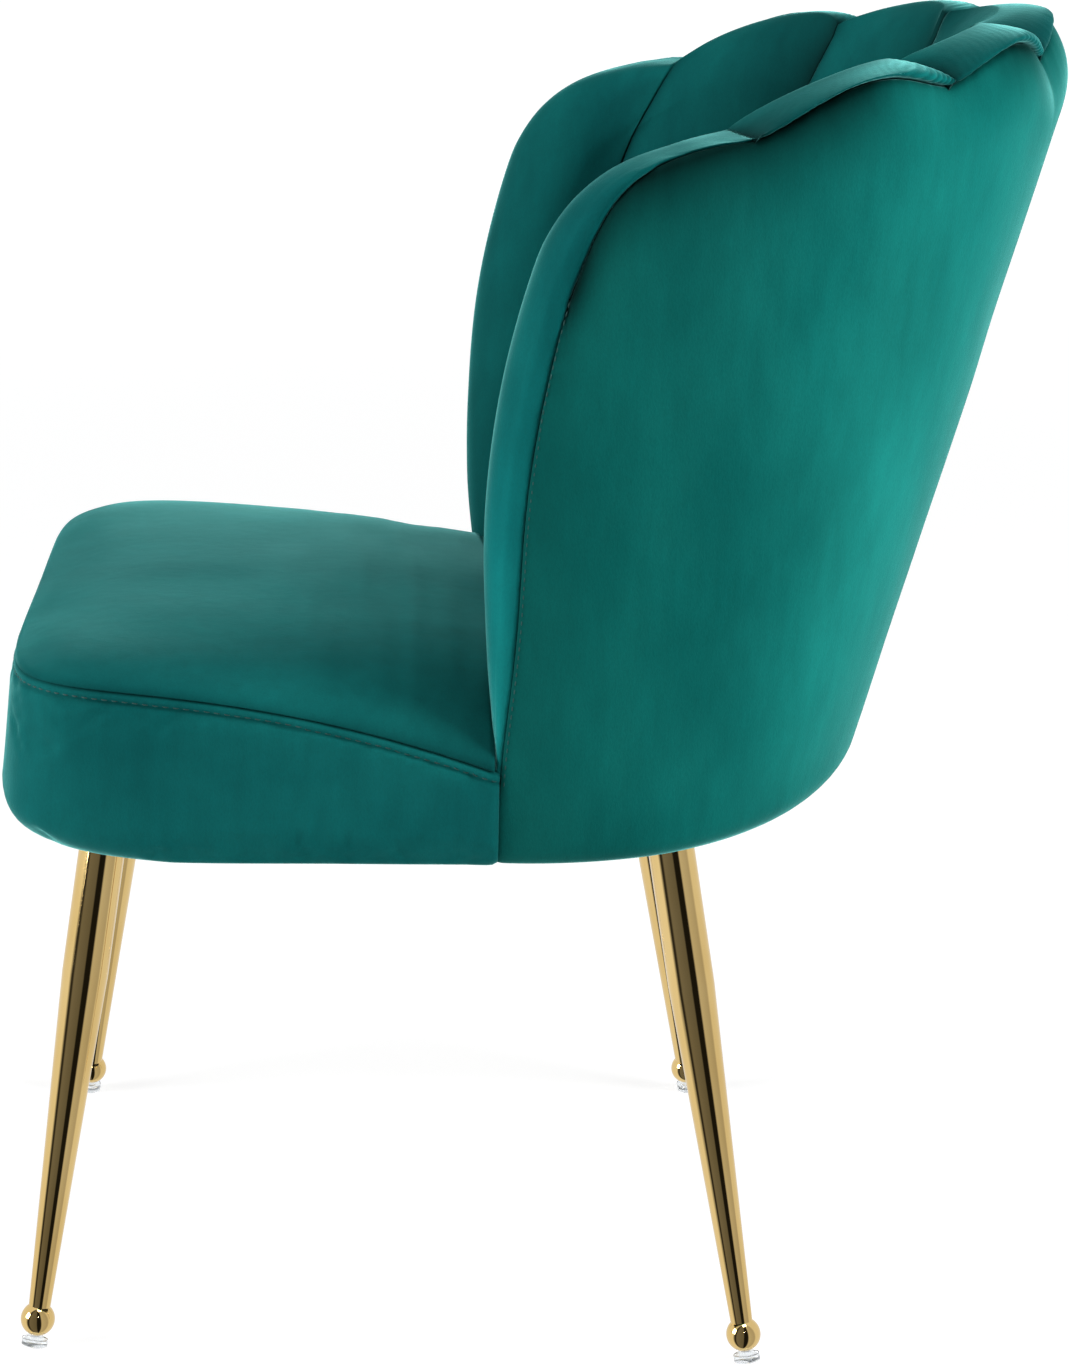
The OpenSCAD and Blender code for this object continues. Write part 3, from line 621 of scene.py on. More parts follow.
def ridge(phi, low, rise, power):
    """A scalloped line: heights at the valleys, with an arch over each lobe between them."""
    a = np.abs(phi)
    i = np.digitize(a, VALLEYS[:2])
    start = np.array((0.0,) + VALLEYS)
    u = np.where(i == 0, a / VALLEYS[0] / 2 + 0.5, (a - start[i]) / (start[i + 1] - start[i]))
    low = np.array(low)
    return lerp(low[i], low[i + 1], u) + np.array(rise)[i] * np.maximum(0, sin(180 * clamp01(u))) ** power


def seam_z(phi):
    return ridge(phi, SEAM, SEAM_RISE, 1.3)


def crest_z(phi):
    return ridge(phi, CREST, CREST_RISE, 0.65)


def seam_in(phi):
    return 8 + 17 * cos(phi) ** 2


def crest_in(phi):
    return 36 + 22 * cos(phi) ** 2


def fan(phi, z):
    """The angle at height z of a line that stands at phi on the rim: the valleys lean below the rim."""
    drop = seam_z(phi) - z
    far = 1 - 0.4 * (1 - clamp01((drop - 50) / 80)) ** 2
    share = np.where(drop < 50, 0.6 * np.maximum(drop, 0) / 50, far)
    return phi + np.sign(phi) * np.interp(np.abs(phi), (0.0,) + VALLEYS, LEAN) * share


def seam_bow(z):
    return SEAM_BOW * np.exp(-((z - BOW_Z) / BOW_REACH) ** 2)


def front_phi(z, inset):
    rise = clamp01((z - BASE - 11) / (CORNER_Z - BASE - 11))
    return VALLEYS[2] + CORNER_TURN - inset / DEG_MM + FRONT_SWEEP * (1 - rise ** 2.2) - seam_bow(z)


def corner(turn, inset):
    """The rounded corner from the wing front up to the last valley, as angle and height."""
    u = turn / 90
    start = np.array([VALLEYS[2] + CORNER_TURN, CORNER_Z])
    side, down = np.array([-inset / DEG_MM, 0]), np.array([0, -inset])
    p = (start + side, start + CORNER_BEND[0] + side + down / 2, start + CORNER_BEND[1] + side / 2 + down,
         np.array([VALLEYS[2], SEAM[3]]) + down)
    return (1 - u) ** 3 * p[0] + 3 * u * (1 - u) ** 2 * p[1] + 3 * u * u * (1 - u) * p[2] + u ** 3 * p[3]


def low_roll(z, radius=ROLL):
    h = np.clip(BASE + radius - z, 0, radius)
    return radius - np.sqrt(radius ** 2 - h ** 2)


def wing_share(phi):
    return clamp01((np.abs(phi) - VALLEYS[2]) / CORNER_TURN)


def rim_top(phi):
    past = CORNER_Z + (SEAM[3] - CORNER_Z) * np.sqrt(1 - wing_share(phi) ** 2.6)
    return np.where(np.abs(phi) <= VALLEYS[2], seam_z(np.clip(phi, -VALLEYS[2], VALLEYS[2])), past)


def tuck(phi, z, radius=ROLL):
    below = clamp01((rim_top(phi) - z) / RIM_REACH)
    return low_roll(z, radius) + lerp(1, 0.35, wing_share(phi)) * seam_in(phi) * (1 - below) ** 2


# ---------------------------------------------------------------- outer back panel

PANEL_ROWS = dict(under=4, roll=12, rise=100, rim=44)
WING_COLS = 46
PANEL_STEP = 0.55               # degrees between two columns behind the wings


def outer_columns():
    """Columns of the panel as (wing share or None, angle, side), from the left wing to the right."""
    side = [(1 - (k / WING_COLS) ** 1.25, 0.0) for k in range(WING_COLS)]
    side += [(None, float(a)) for a in np.arange(VALLEYS[2], 0.01, -PANEL_STEP)]
    return [(w, a, 1) for w, a in side] + [(None, 0.0, 1)] + [(w, a, -1) for w, a in reversed(side)]


def outer_sheet(t, inset):
    columns = []
    turn = np.linspace(0, 90, PANEL_ROWS["roll"] + 1)[:-1]
    roll = np.concatenate([np.full(PANEL_ROWS["under"], BASE), BASE + ROLL * (1 - cos(turn))])
    face = np.full(len(roll) + PANEL_ROWS["rise"] + PANEL_ROWS["rim"], 90.0)     # which way the cloth faces
    face[:len(roll)] = np.concatenate([np.zeros(PANEL_ROWS["under"]), turn])
    flat = np.zeros(len(face))
    flat[:PANEL_ROWS["under"]] = np.linspace(1, 0, PANEL_ROWS["under"] + 1)[:-1]
    for wing, angle, side in outer_columns():
        if wing is None:
            end_phi, end_z = angle, float(seam_z(angle)) - inset
        else:
            end_phi, end_z = corner(90 * (1 - wing), inset)
        top = end_z - 60 * np.linspace(1, 0, PANEL_ROWS["rim"]) ** 1.3
        z = np.concatenate([roll, np.linspace(BASE + ROLL, top[0], PANEL_ROWS["rise"] + 1)[:-1], top])
        if wing is None:
            phi = np.full_like(z, angle)
        else:
            rise = clamp01((z - BASE) / (end_z - BASE))
            span = lambda h: (front_phi(h, inset) - VALLEYS[2]) * wing
            phi = VALLEYS[2] + span(z) + rise ** 2 * (end_phi - VALLEYS[2] - span(end_z))
        behind = 0.0
        if wing is None:
            behind = clamp01((cos(angle) - cos(VALLEYS[2])) / (1 - cos(VALLEYS[2]))) ** 1.5
        radius = lerp(SIDE_ROLL, ROLL, behind)
        inside = t * sin(face) + tuck(phi, z, radius) + flat * (ROLL + CLOTH - radius)
        columns.append(on_shell(side * phi, z + t * cos(face), inside))
    return np.stack(columns, 1)


def make_outer_panel():
    front, back = outer_sheet(0.0, 0.4), outer_sheet(CLOTH, 1.0)
    out = grid_normals(front)
    down, across = row_lengths(front)[-1:] - row_lengths(front), to_sides(front)
    z, turn = front[..., 2], col_lengths(front)
    front_edge = np.exp(-across / 3.0)
    lift = 1.3 * noise(turn / 120, z / 150, 3) + 0.5 * noise(turn / 45, z / 60, 4)
    lift *= clamp01(down / 60) * clamp01(across / 40) * clamp01((z - BASE) / 50)
    # short gathers where the panel is sewn to the rim, and longer ones along the upper wing front
    gather = noise(turn / 5.2, down / 55, 5) * np.exp(-down / 10)
    wing_zone = clamp01((z - 620) / 60) * clamp01((800 - z) / 40)
    pucker = noise(z / 4.5, across / 60, 6) * np.exp(-across / 15) * wing_zone
    lift += 0.42 * gather + 0.9 * pucker
    lift -= 0.8 * front_edge ** 2 + 1.6 * np.exp(-down / 2.0)
    front = front + lift[..., None] * out
    # painted shade under the rim roll, strongest just below the seam, its strength varying along the rim
    shade = 0.62 + 0.38 * noise(turn / 55, z * 0, 8)
    under_rim_shade = 1 - shade * np.exp(-(down / 31) ** 1.4) - 0.15 * np.exp(-down / 5)
    # painted shade along the panel's front edge by the wing seam, lighter and darker over the puckers
    front_edge_shade = (1 - 0.30 * np.exp(-across / 2.0)) * (1 + 0.3 * pucker)
    # painted shade along the bottom roll, and painted light towards the rear of the panel
    low = (0.88 + 0.12 * clamp01((z - BASE) / 40)) * (1 + 0.2 * clamp01((front[..., 1] - 60) / 200))
    # with a little random tone
    under_rim_shade = np.maximum(under_rim_shade, 0.12) * (1 + 0.16 * noise(turn / 70, z / 110, 9))
    # painted highlights in fine streaks just below the rim seam
    seam_highlights = 1 + 0.35 * np.maximum(0, noise(turn / 2.2, down / 30, 7)) * np.exp(-down / 5)
    return slab("outer_panel", front, back, VELVET_OUTER, under_rim_shade * front_edge_shade * low * seam_highlights)


# ---------------------------------------------------------------- channel pads

OVERHANG = 3.4                  # how far the pads' roll stands out past the seam under it
ROLL_RADIUS = 2.8


def full_depth(phi):
    return PAD_FULL * (1 + 0.14 * cos(phi) ** 2)


def fill(phi, u, z):
    low = PAD_VALLEY * (1 + 0.1 * cos(phi) ** 2)
    pad = lerp(full_depth(phi), low, np.abs(2 * u - 1) ** CREASE)
    near = clamp01((z - crest_z(phi) + FILL_REACH) / (FILL_REACH - PAD_TURN))
    return lerp(pad, full_depth(phi), RIM_FILL * near ** 2)


def outer_turn(crest, seam, b, overhang=OVERHANG, radius=ROLL_RADIUS, under=-0.3):
    """Height or depth on the roll from the crest out and down to the seam it overhangs; b runs 0 to 1."""
    zc, tc = crest
    zs, ts = seam
    mid_z, mid_t = zs + radius, ts - overhang
    a, c = 90 * clamp01(b / 0.82), 90 * clamp01((b - 0.82) / 0.18)
    z = np.where(b < 0.82, mid_z + (zc - mid_z) * cos(a), mid_z - (radius + under) * sin(c))
    t = np.where(b < 0.82, tc - (tc - mid_t) * sin(a), mid_t + overhang * (1 - cos(c)))
    return z, t


PETAL_ROWS = dict(rise=118, roll=34, over=36)
PETAL_COLS = 91
GATHER_STEP, GATHER_SLANT = 6.6, 0.75   # spacing of the gathers on the roll, and how far they slant


def petal_grids(start, end):
    x = np.linspace(0, 1, PETAL_COLS)
    u = lerp(0.5 - 0.5 * np.cos(np.pi * x), x, 0.45)[None]
    phi = lerp(end - PAD_GAP, start + PAD_GAP, u)
    zc, zs = crest_z(phi), seam_z(phi)
    z = lerp(PAD_FOOT, zc - PAD_TURN, np.linspace(0, 1, PETAL_ROWS["rise"])[:-1, None] ** 0.85)
    rise = on_shell(fan(phi, z), z, fill(phi, u, z))
    t = fill(phi, u, zc - PAD_TURN)
    tc = np.minimum(crest_in(phi) + VALLEY_DEEP * np.abs(2 * u - 1) ** CREASE, t - 3)
    a = np.linspace(180, 90, PETAL_ROWS["roll"])[:, None]
    z = zc - PAD_TURN * (1 - sin(a))
    roll = on_shell(fan(phi, z), z, tc - (t - tc) * cos(a))
    b = np.linspace(0, 1, PETAL_ROWS["over"])[1:, None]
    z, t = outer_turn((zc, tc), (zs, seam_in(phi) + 0.5), b, lerp(1.0, OVERHANG, clamp01(np.abs(phi) / 14)))
    over = on_shell(fan(phi, z), z, t)
    front = np.concatenate([rise, roll, over])
    z = lerp(PAD_FOOT, zs - BOARD_DROP, np.linspace(0, 1, len(front) - 1)[:, None])
    turned = fan(phi, z)
    inner = on_shell(turned, z, PAD_BACK + np.maximum(tuck(phi, z), tuck(turned, z)))
    return front, np.concatenate([inner, on_shell(phi, zs - 0.8, seam_in(phi) + CLOTH + 0.4)])


def petal_detail(front, move, seed, mirrored):
    """Creases at the valleys, gathers on the outer side of the roll, and painted light and shade for the
    velvet's colour.
    """
    out = -grid_normals(front)
    up, across = row_lengths(front), col_lengths(front)
    left = to_sides(front)
    right = across if mirrored else across[:, -1:] - across
    to_seam = up[-1:] - up
    rim = up[-PETAL_ROWS["over"]]
    share = clamp01((up - rim) / (up[-1:] - rim))             # 0 at the crest, 1 at the seam
    soft = clamp01(left / 14)
    ends = np.exp(-right / 32)
    shape = 1.5 * noise(up / 90, across / 70 + seed, 11 + seed) * soft
    valley = noise(up / 9.5, left / 40, 21 + seed) * np.exp(-left / 9) * clamp01(left / 2.5)
    drift = 0.7 * noise(right / 22, up / 30, 31 + seed)
    stray = 0.5 * noise(right / 14, up / 20, 35 + seed)
    wave = np.sin(2 * np.pi * ((right + GATHER_SLANT * to_seam) / GATHER_STEP + drift + stray))
    band = np.sqrt(np.maximum(0, share)) * clamp01((1 - share) / 0.05 + 0.2)
    uneven = clamp01(0.8 + 0.5 * noise(right / 9, to_seam / 18, 36 + seed))
    gather = wave * band * uneven * (0.04 + 0.85 * ends) * clamp01(left / 3)
    pinch = noise(across / 4.0, to_seam / 60, 41 + seed) * np.exp(-to_seam / 8) * clamp01(left / 5)
    lift = 0.7 * shape + 0.22 * valley + 0.75 * gather + 0.30 * pinch
    front = front + move + lift[..., None] * out
    # painted shade in the valleys and at the seam, and painted light and shade along the gathers
    painted_light_and_tone = 1 - 0.60 * np.exp(-left / 6.5)
    painted_light_and_tone *= (1 - 0.35 * np.exp(-to_seam / 4)) * (1 + 0.55 * gather)
    # painted shade, darker deeper down the shell
    deep = clamp01((front[..., 2].max() - front[..., 2]) / 260)
    painted_light_and_tone *= lerp(1.0, 0.80, deep)
    # painted light from the lamps: the pad's inner face runs from dark to light across it, and its roll band
    # from light to dark
    over = clamp01(right / across[:, -1:])
    inside, band = lerp(0.42, 1.0, over ** 0.8), lerp(1.45, 0.60, over)
    return front, painted_light_and_tone * lerp(inside, band, clamp01(share * 3))


# ---------------------------------------------------------------- wing pads

WING_BULGE = 27.0
WING_RADIUS = 1.8               # below its corner the wing's roll meets the panel flush, in a fine seam
WING_UNDER = 0.9                # how far the wing's cloth runs in under the panel
TOP_BULGE = 6.0                 # how much fuller the pad is just below its corner
TOP_AT, TOP_REACH = 0.62, 0.12  # where that is, as a share of the wing's lines, and how far it spreads
FOOT_BULGE = 4.5                # how far the pad's foot presses forward against the seat
WING_GAP, WING_TURN = 0.2, 2.2
FRONT_SHARE = 0.6
WING_LINES = 150
WING_PARTS = dict(face=(0, 0.22, 0.45, 0.65), roll=22, over=26)
WING_POINTS = 78


def wing_edge(w, inset):
    if w < FRONT_SHARE:
        z = lerp(PAD_FOOT, CORNER_Z, w / FRONT_SHARE)
        return np.array([float(front_phi(z, inset)), z])
    return corner(90 * (w - FRONT_SHARE) / (1 - FRONT_SHARE), inset)


def wing_seam_in(w):
    return lerp(3.5, float(seam_in(VALLEYS[2])), w ** 4)


def past_valley(edge):
    return np.array([max(WING_GAP, edge[0] - float(fan(VALLEYS[2], edge[1]))), edge[1]])


def from_valley(q):
    q = np.asarray(q)
    return np.stack([fan(VALLEYS[2], q[..., 1]) + q[..., 0], q[..., 1]], -1)


def wing_line(w):
    root = np.array([WING_GAP, lerp(PAD_FOOT, SEAM[3] - PAD_TURN, w)])
    far = past_valley(wing_edge(w, 0))
    edge, base = from_valley(far), from_valley(root)
    tip, foot = on_shell(*edge, 0), on_shell(*base, 0)
    span = np.linalg.norm(tip - foot)
    out = (tip - foot) / span
    turn = min(40.0, 0.9 * span)
    hold = 1 - turn / span
    rise = WING_BULGE * max(0.0, math.sin(math.pi * min(1.0, max(0.0, w * 1.12 - 0.02)))) ** 1.2
    rise += (TOP_BULGE * math.exp(-((w - TOP_AT) / TOP_REACH) ** 2)
             + FOOT_BULGE * max(0.0, 1 - w / 0.2) ** 1.5 + DEG_MM * float(seam_bow(edge[1])))
    tc = float(crest_in(edge[0])) - 6 * math.sin(math.pi * w) + VALLEY_DEEP * w ** 8
    ts = wing_seam_in(w) + 0.5
    low = float(fill(VALLEYS[2], 1.0, root[1]))
    full = lerp(PAD_FULL, low, w ** 8)

    def deep(back):
        return inward(lerp(edge[0], base[0], back / span), edge[1])

    q = root[None] + (far - root)[None] * (np.array(WING_PARTS["face"]) * hold)[:, None]
    p = from_valley(q)
    near = (1 - clamp01(q[:, 0] / 8)) ** CREASE
    face = on_shell(p[:, 0], p[:, 1], lerp(full, low, near))
    a = np.linspace(180, 90, WING_PARTS["roll"])
    roll = []
    for x in a:
        forward = rise - (rise + turn) * (1 - sin(x))
        roll.append(tip + out * forward + (tc - (full - tc) * cos(x)) * deep(turn * (1 - sin(x))))
    b = np.linspace(0, 1, WING_PARTS["over"])[1:]
    corner_share = clamp01((w - 0.75) / 0.2)
    along, back = outer_turn((rise, tc), (0.0, ts), b, OVERHANG, lerp(WING_RADIUS, ROLL_RADIUS, corner_share),
                             lerp(WING_UNDER, -0.3, corner_share))
    if rise < ROLL_RADIUS * 1.5:
        plain = np.stack([rise * cos(90 * b) + 0.3, tc - (tc - ts) * sin(90 * b)], 1)
        share = clamp01(rise / (ROLL_RADIUS * 1.5))
        along, back = lerp(plain[:, 0], along, share), lerp(plain[:, 1], back, share)
    over = tip + out * along[:, None] + back[:, None] * deep(0)
    front = even(np.concatenate([face, roll, over]), WING_POINTS)
    rim, last = wing_edge(w, BOARD_DROP), from_valley(past_valley(wing_edge(w, WING_TURN)))
    share = np.linspace(0, 1, WING_POINTS - 1)[:, None]
    q = from_valley(root[None] + (past_valley(rim) - root)[None] * share)
    inner = on_shell(q[:, 0], q[:, 1], PAD_BACK + 0.8 + tuck(q[:, 0], q[:, 1]))
    return front, np.concatenate([inner, on_shell(*last, wing_seam_in(w) + CLOTH + 0.4)[None]])


def wing_grids():
    lines = [wing_line(w) for w in np.linspace(0, 1, WING_LINES)]
    front, back = np.stack([f for f, _ in lines]), np.stack([b for _, b in lines])
    front[:, :-8] = soften(front, 10, (False, True))[:, :-8]
    return soften(front, 3, (True, False)), back


def wing_detail(front, move, seed):
    out = grid_normals(front)
    up, across = row_lengths(front), col_lengths(front)
    to_valley, to_seam = across, across[:, -1:] - across
    soft = clamp01(to_valley / 12) * clamp01(to_seam / 12)
    shape = 1.6 * noise(up / 80, across / 60, 50 + seed) * soft
    crease = noise(up / 11, to_valley / 45, 51 + seed) * np.exp(-to_valley / 10) * clamp01(to_valley / 2.5)
    pinch = noise(up / 5.5, to_seam / 60, 52 + seed) * np.exp(-to_seam / 11)
    lift = 0.8 * shape + 0.25 * crease + 0.35 * pinch
    front = front + move + lift[..., None] * out
    # painted shade near the valley and at the seam
    painted_light_and_tone = (1 - 0.60 * np.exp(-to_valley / 6.5)) * (1 - 0.25 * np.exp(-to_seam / 2))
    deep = clamp01((front[..., 2].max() - front[..., 2]) / 260)
    # painted light: the roll by the seam is painted brighter, most of all low down, and the rest of the pad
    # darker low down
    lit = clamp01(1.3 - to_seam / 45) * clamp01(up / 25)
    # a little random tone
    painted_light_and_tone *= 1 + 0.10 * noise(up / 35, across / 22, 53 + seed)
    return front, painted_light_and_tone * lerp(lerp(0.90, 0.75, deep), lerp(1.05, 1.95, deep), lit)


# ---------------------------------------------------------------- seat

SEAT_HALF = 247.0
SEAT_FRONT = 327.0
SEAM_FRONT, SEAM_DROP = 449.0, 50.0
CROWN = 468.0
RIDGE = 70.0                    # the seat is rounded over its middle for about this far to each side
BORDER_END = -27.0
SEAT_MID = -97.0
REACH = SEAT_FRONT + SEAT_MID
BORDER_T = 31.0
POWER = 7.0
FRONT_FLAT = 0.4
SEAT_END = BORDER_END - 1.5     # where the seat's full width ends against the wing pads
BOXING_END = BORDER_END + 1.5   # the boxing's ends are tucked this far in under the outer panel
STITCH_DROP = 6.5               # how far the topstitch runs below the seat's seam
FALL_FRONT, FALL_REAR = (-190, 0.00012), (-150, 0.0006)     # where the top starts to fall, and how fast
SEAT_COLS, OUTLINE_POINTS = 141, 301


def seat_seam(y):
    return SEAM_FRONT - SEAM_DROP * clamp01((y + SEAT_FRONT) / (SEAT_FRONT + BORDER_END)) ** 2.2


def crown(x, y):
    p, q = clamp01(np.abs(x) / SEAT_HALF), clamp01((SEAT_MID - y) / REACH)
    full = clamp01(1 - p ** POWER - q ** POWER)
    edge = np.maximum(seat_seam(y), PAD_FOOT) + 2.0
    top = CROWN - FALL_FRONT[1] * np.minimum(0, y - FALL_FRONT[0]) ** 2
    top = top - FALL_REAR[1] * np.maximum(0, y - FALL_REAR[0]) ** 2
    side = (np.hypot(x, RIDGE) - RIDGE) / (math.hypot(SEAT_HALF, RIDGE) - RIDGE)
    dome = 0.55 + 0.45 * (1 - clamp01(side)) ** 0.5
    return lerp(edge, top, full ** 0.6 * dome)


def seat_rows(shrink):
    turn_y = -SEAT_FRONT + REACH * 0.32
    rows = []
    for y in np.concatenate([lerp(FRONT_FLAT - SEAT_FRONT, turn_y, np.linspace(0, 1, 40) ** 1.7),
                             np.linspace(turn_y, SEAT_END, 64)[1:]]):
        q = clamp01((SEAT_MID - y) / REACH)
        rows.append((y + shrink * clamp01((SEAT_END - y) / 60),
                     SEAT_HALF * (1 - q ** POWER) ** (1 / POWER) - shrink))
    rear = []
    for a in np.concatenate([np.linspace(88, 20, 44), [17.5, 15, 13, 11]]):
        p = on_shell(a, PAD_FOOT, full_depth(a) + 1.5 + shrink)
        rear.append((p[1], p[0]))
    return rows + [(SEAT_END + 1, rear[0][1])] + rear


def seat_grid(shrink):
    c = np.sin(np.linspace(-np.pi / 2, np.pi / 2, SEAT_COLS))
    rows = np.array(seat_rows(shrink))
    x = c[None] * rows[:, 1:]
    y = np.broadcast_to(rows[:, :1], x.shape)
    return np.stack([x, y, crown(x, y)], -1)


def seat_grids():
    top, low = seat_grid(0.0), seat_grid(4.0)
    low[..., 2] = np.maximum(seat_seam(low[..., 1] - 4), PAD_FOOT) + 1.2
    return top, low


def seat_detail(top, move):
    x, y = top[..., 0], top[..., 1]
    rim = np.minimum(to_sides(top), row_lengths(top))
    soft = clamp01(rim / 25)
    rear = clamp01((y + 190) / 120)
    lift = 1.2 * noise(x / 110, y / 90, 61) * soft + 0.9 * rear * noise(x / 90, y / 11, 62) * soft
    lift += 0.5 * noise(x / 60, y / 40, 63) * soft
    front = top + move
    front[..., 2] += lift
    front[..., 2] -= 1.5 * np.exp(-rim / 2.2)
    # painted shade at the seam, and darker towards the rear: painted shade between the wings and under the
    # back
    painted_light_and_tone = (1 - 0.40 * np.exp(-rim / 4)) * lerp(1.0, 0.62, clamp01((y + 170) / 150))
    return front, painted_light_and_tone


def outline(inset, swell=0.0):
    half, reach = SEAT_HALF - inset, REACH - inset + swell
    turn = np.linspace(0, np.pi / 2, 500)
    c, s = np.maximum(np.cos(turn), 0) ** (2 / POWER), np.maximum(np.sin(turn), 0) ** (2 / POWER)
    left = np.concatenate([[[half, BOXING_END]], np.stack([half * c, SEAT_MID - reach * s], 1)])
    return even(np.concatenate([left, left[-2::-1] * [-1, 1]]), OUTLINE_POINTS)


def ring(inset, z):
    p = outline(inset)
    return np.concatenate([p, np.broadcast_to(z, len(p))[:, None]], 1)


def low_ring(b, under=0.0):
    """The boxing's bottom edge at turn b; under runs from 0 at the turn to 1 where the cloth ends below."""
    wide, narrow = outline(0, 9 * sin(b)), outline(ROLL, 9 * sin(b))
    radius = lerp(SIDE_ROLL, ROLL, clamp01((-wide[:, 1] - 230) / 80))
    p = lerp(wide, narrow, lerp(radius * (1 - sin(b)) / ROLL, 1, under)[:, None])
    return np.concatenate([p, (BASE + radius * (1 - cos(b)))[:, None]], 1)


def boxing_grids():
    outer, inner = [], []
    for under in (1.0, 0.7, 0.35):
        outer.append(low_ring(0, under))
        inner.append(ring(BORDER_T, BASE + 0.2))
    for b in np.linspace(0, 90, 14):
        outer.append(low_ring(b))
        inner.append(ring(BORDER_T, BASE + 0.2 + ROLL * (1 - cos(b))))
    edge, inside = ring(0, 0.0), ring(BORDER_T, 0.0)
    edge[:, 2], inside[:, 2] = seat_seam(edge[:, 1]), seat_seam(inside[:, 1])
    low, low_in = outer[-1], inner[-1]
    for u in 1 - (1 - np.linspace(0, 1, 46)[1:]) ** 1.3:
        outer.append(lerp(low, edge, u))
        inner.append(lerp(low_in, inside, u))
    return np.stack(outer), np.stack(inner)


def boxing_detail(front, move):
    out = -grid_normals(front)
    up, across = row_lengths(front), col_lengths(front)
    below, ends = up[-1:] - up, to_sides(front)
    soft = clamp01(below / 30) * clamp01(up / 30) * clamp01(ends / 20)
    lift = 1.2 * noise(across / 90, up / 70, 71) * soft
    lift += 0.9 * np.exp(-((below - 3.2) / 2.0) ** 2) - 0.9 * np.exp(-((below - STITCH_DROP) / 1.1) ** 2)
    lift -= 1.8 * np.exp(-below / 1.0) + 2.3 * np.exp(-ends / 1.8)
    lift += 0.35 * noise(across / 9, below / 40, 72) * np.exp(-np.abs(below - STITCH_DROP) / 12)
    front = front + move + lift[..., None] * out
    # painted shade in the topstitch groove, at the seam and at the boxing's ends
    painted_light_and_tone = 1 - 0.30 * np.exp(-((below - STITCH_DROP) / 1.2) ** 2) - 0.35 * np.exp(-below / 1.2)
    return front, painted_light_and_tone * (1 - 0.35 * np.exp(-ends / 3))


# ---------------------------------------------------------------- stitches

PROUD, SUNK = 0.25, 0.25        # how far a thread stands out at its middle, and dips in at its ends
WING_STITCH_IN = 2.4            # how far the wing's topstitch runs from the panel's edge
WING_STITCH_FOOT = 8            # how many rows above the panel's rolled edge it starts


def stitches(name, line, normals, length, gap, width=0.9):
    """Short threads laid end to end along a line of points on a surface."""
    along = np.concatenate([[0], np.cumsum(np.linalg.norm(np.diff(line, axis=0), axis=1))])
    starts = np.arange(gap, along[-1] - length, length + gap)
    sides, rings = 8, 7
    points, faces = [], []
    at = lambda s, values: np.stack([np.interp(s, along, values[:, k]) for k in range(3)], -1)
    turn = np.linspace(0, 2 * np.pi, sides, endpoint=False)
    for start in starts:
        s = start + length * np.linspace(0, 1, rings)
        centre, up = at(s, line), at(s, normals)
        ahead = np.gradient(centre, axis=0)
        ahead /= np.linalg.norm(ahead, axis=1, keepdims=True)
        side = np.cross(ahead, up)
        bow = np.sin(np.linspace(0, np.pi, rings))[:, None]
        centre = centre + up * (PROUD * bow - SUNK * (1 - bow))
        radius = (width / 2 * (0.35 + 0.65 * bow ** 0.5))[:, None]
        ring_points = centre[:, None] + radius * (np.cos(turn)[None, :, None] * side[:, None]
                                                  + np.sin(turn)[None, :, None] * up[:, None])
        base = len(points) * sides * rings
        ids = base + np.arange(sides * rings).reshape(rings, sides)
        nxt = np.roll(ids, -1, axis=1)
        faces.append(np.stack([ids[:-1], nxt[:-1], nxt[1:], ids[1:]], -1).reshape(-1, 4))
        for end in (ids[0][::-1], ids[-1]):
            faces.append(np.stack([end[[0, 1, 2, 3]], end[[0, 3, 4, 7]], end[[4, 5, 6, 7]]]))
        points.append(ring_points.reshape(-1, 3))
    return mesh_object(name, np.concatenate(points), np.concatenate(faces), THREAD)


# ---------------------------------------------------------------- build

PETALS = (("left_outer", VALLEYS[1], VALLEYS[2]), ("left_inner", VALLEYS[0], VALLEYS[1]),
          ("centre", -VALLEYS[0], VALLEYS[0]), ("right_inner", -VALLEYS[1], -VALLEYS[0]),
          ("right_outer", -VALLEYS[2], -VALLEYS[1]))


def settle(piece, node=None):
    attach(piece, "root")
    if node:
        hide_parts(*([node] if isinstance(node, str) else node))


def held_rows(front, first, last):
    """True in the first and last rows of a pad's front, where its cloth is sewn down."""
    held = np.zeros(front.shape[:2], bool)
    held[:first], held[front.shape[0] - last:] = True, True
    return held


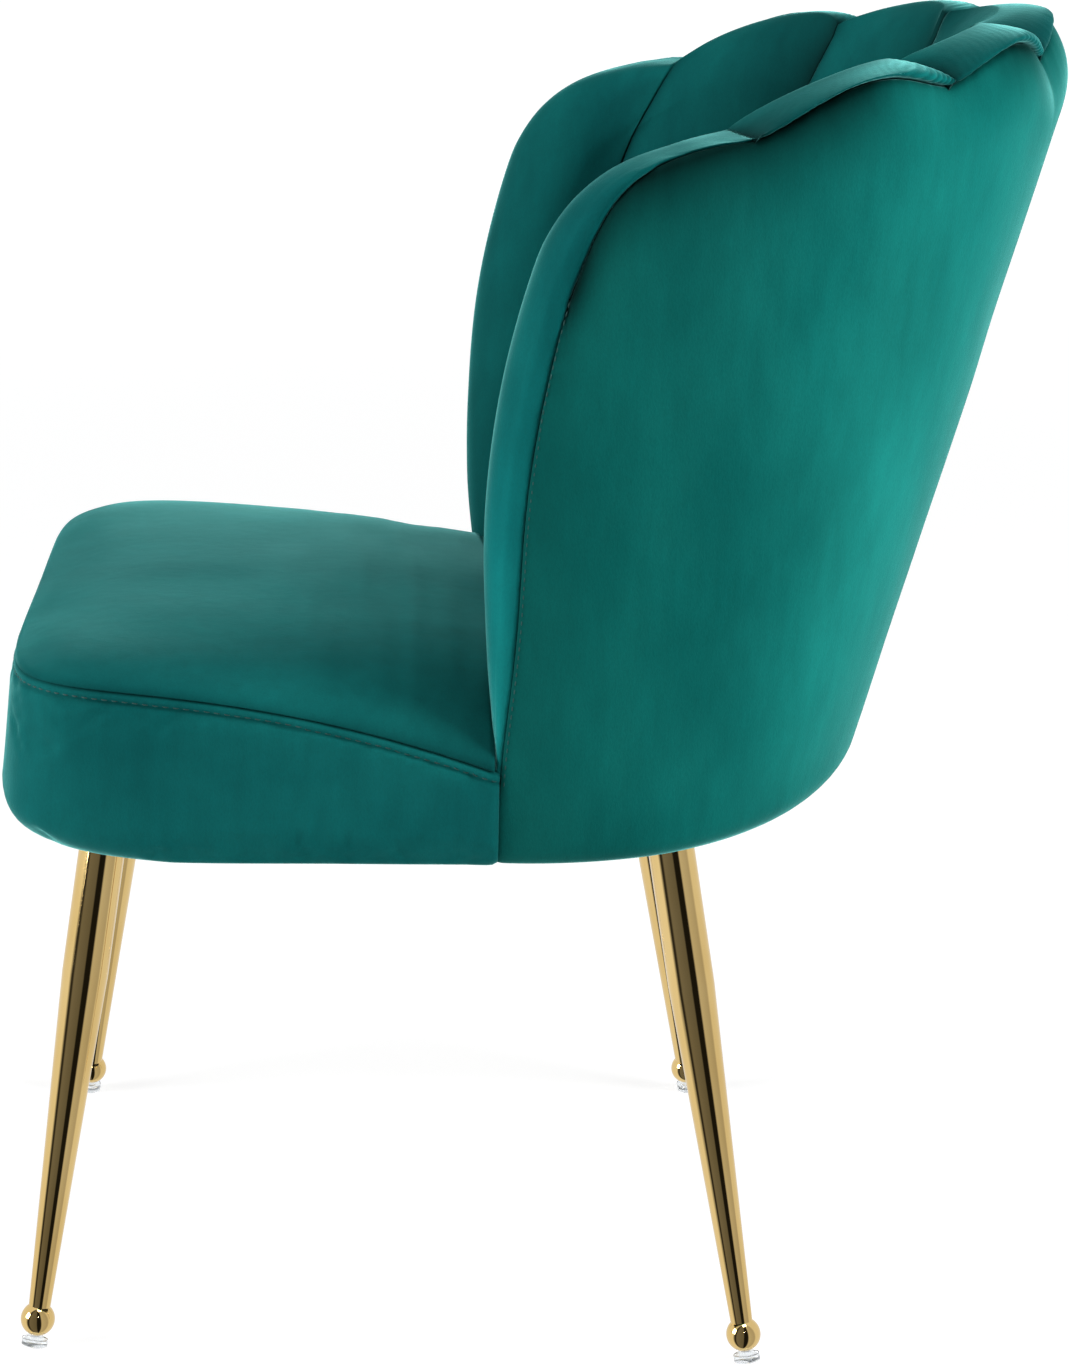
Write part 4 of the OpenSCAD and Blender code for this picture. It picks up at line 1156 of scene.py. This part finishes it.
def build():
    petals = [petal_grids(start, end) for _, start, end in PETALS]
    wing = wing_grids()
    wings = [(wing[0][:, ::-1], wing[1][:, ::-1]), (wing[0] * [-1, 1, 1], wing[1] * [-1, 1, 1])]
    seat, boxing = seat_grids(), boxing_grids()
    shapes = [(f, b, held_rows(f, 3, 6), 0.006, 2.5) for f, b in petals]
    shapes += [(f, b, held_rows(f, 2, 2), 0.004, 2.5) for f, b in wings]
    shapes.append((*seat, held_rows(seat[0], 1, 6), 0.004, 1.5))
    shapes.append((*boxing, held_rows(boxing[0], 11, 8), 0.010, 2.0))
    moves = loosen(shapes)
    moves[:-1] = [soften(move, CLOTH_EASE) for move in moves[:-1]]
    wing_moves, (seat_move, boxing_move) = moves[len(PETALS):-2], moves[-2:]

    settle(make_outer_panel(), "outer_back_cover")
    for k, (place, start, end) in enumerate(PETALS):
        front, painted_light_and_tone = petal_detail(petals[k][0], moves[k], k, place.startswith("right"))
        settle(slab("petal_" + place, front, petals[k][1], VELVET_PETAL, painted_light_and_tone), "channel_" + place)
    # each wing is dressed as a left one whose columns run from valley to seam, and then turned back
    for k, (place, side, way) in enumerate((("left_wing", 1, -1), ("right_wing", -1, 1))):
        front, back = wings[k]
        grid, painted_light_and_tone = wing_detail(front[:, ::way] * [side, 1, 1], wing_moves[k][:, ::way] * [side, 1, 1], k)
        grid, painted_light_and_tone = (grid * [side, 1, 1])[:, ::way], painted_light_and_tone[:, ::way]
        settle(slab("petal_" + place, grid, back, VELVET_PETAL, painted_light_and_tone), "channel_" + place)
    top, painted_light_and_tone = seat_detail(seat[0], seat_move)
    settle(slab("seat_top", top, seat[1], VELVET_SEAT, painted_light_and_tone), ["seat_cover", "seat_cushion"])
    front, painted_light_and_tone = boxing_detail(boxing[0], boxing_move)
    settle(slab("seat_boxing", front, boxing[1], VELVET_SEAT, painted_light_and_tone), "seat_border")
    stitch_boxing(front)
    stitch_wings()


def stitch_boxing(front):
    up = row_lengths(front)
    below = up[-1:] - up
    row = np.argmin(np.abs(below - STITCH_DROP), axis=0)
    columns = np.arange(front.shape[1])
    normals = -grid_normals(front)
    settle(stitches("seat_topstitch", front[row, columns], normals[row, columns], 4.2, 2.0))


def stitch_wings():
    sheet = outer_sheet(0.0, 0.4)
    out = grid_normals(sheet)
    first = PANEL_ROWS["under"] + PANEL_ROWS["roll"] + WING_STITCH_FOOT
    along = to_sides(sheet)
    for name in ("left", "right"):
        column = np.argmin(np.abs(along[first:, :WING_COLS] - WING_STITCH_IN), axis=1)
        column = column if name == "left" else sheet.shape[1] - 1 - column
        rows = np.arange(first, sheet.shape[0])
        line, normals = sheet[rows, column], out[rows, column]
        smooth = soften(line[:, None], 12, (True, False))[:, 0]
        settle(stitches("wing_topstitch_" + name, smooth - 0.35 * normals, normals, 3.6, 1.8, 0.8))


build()
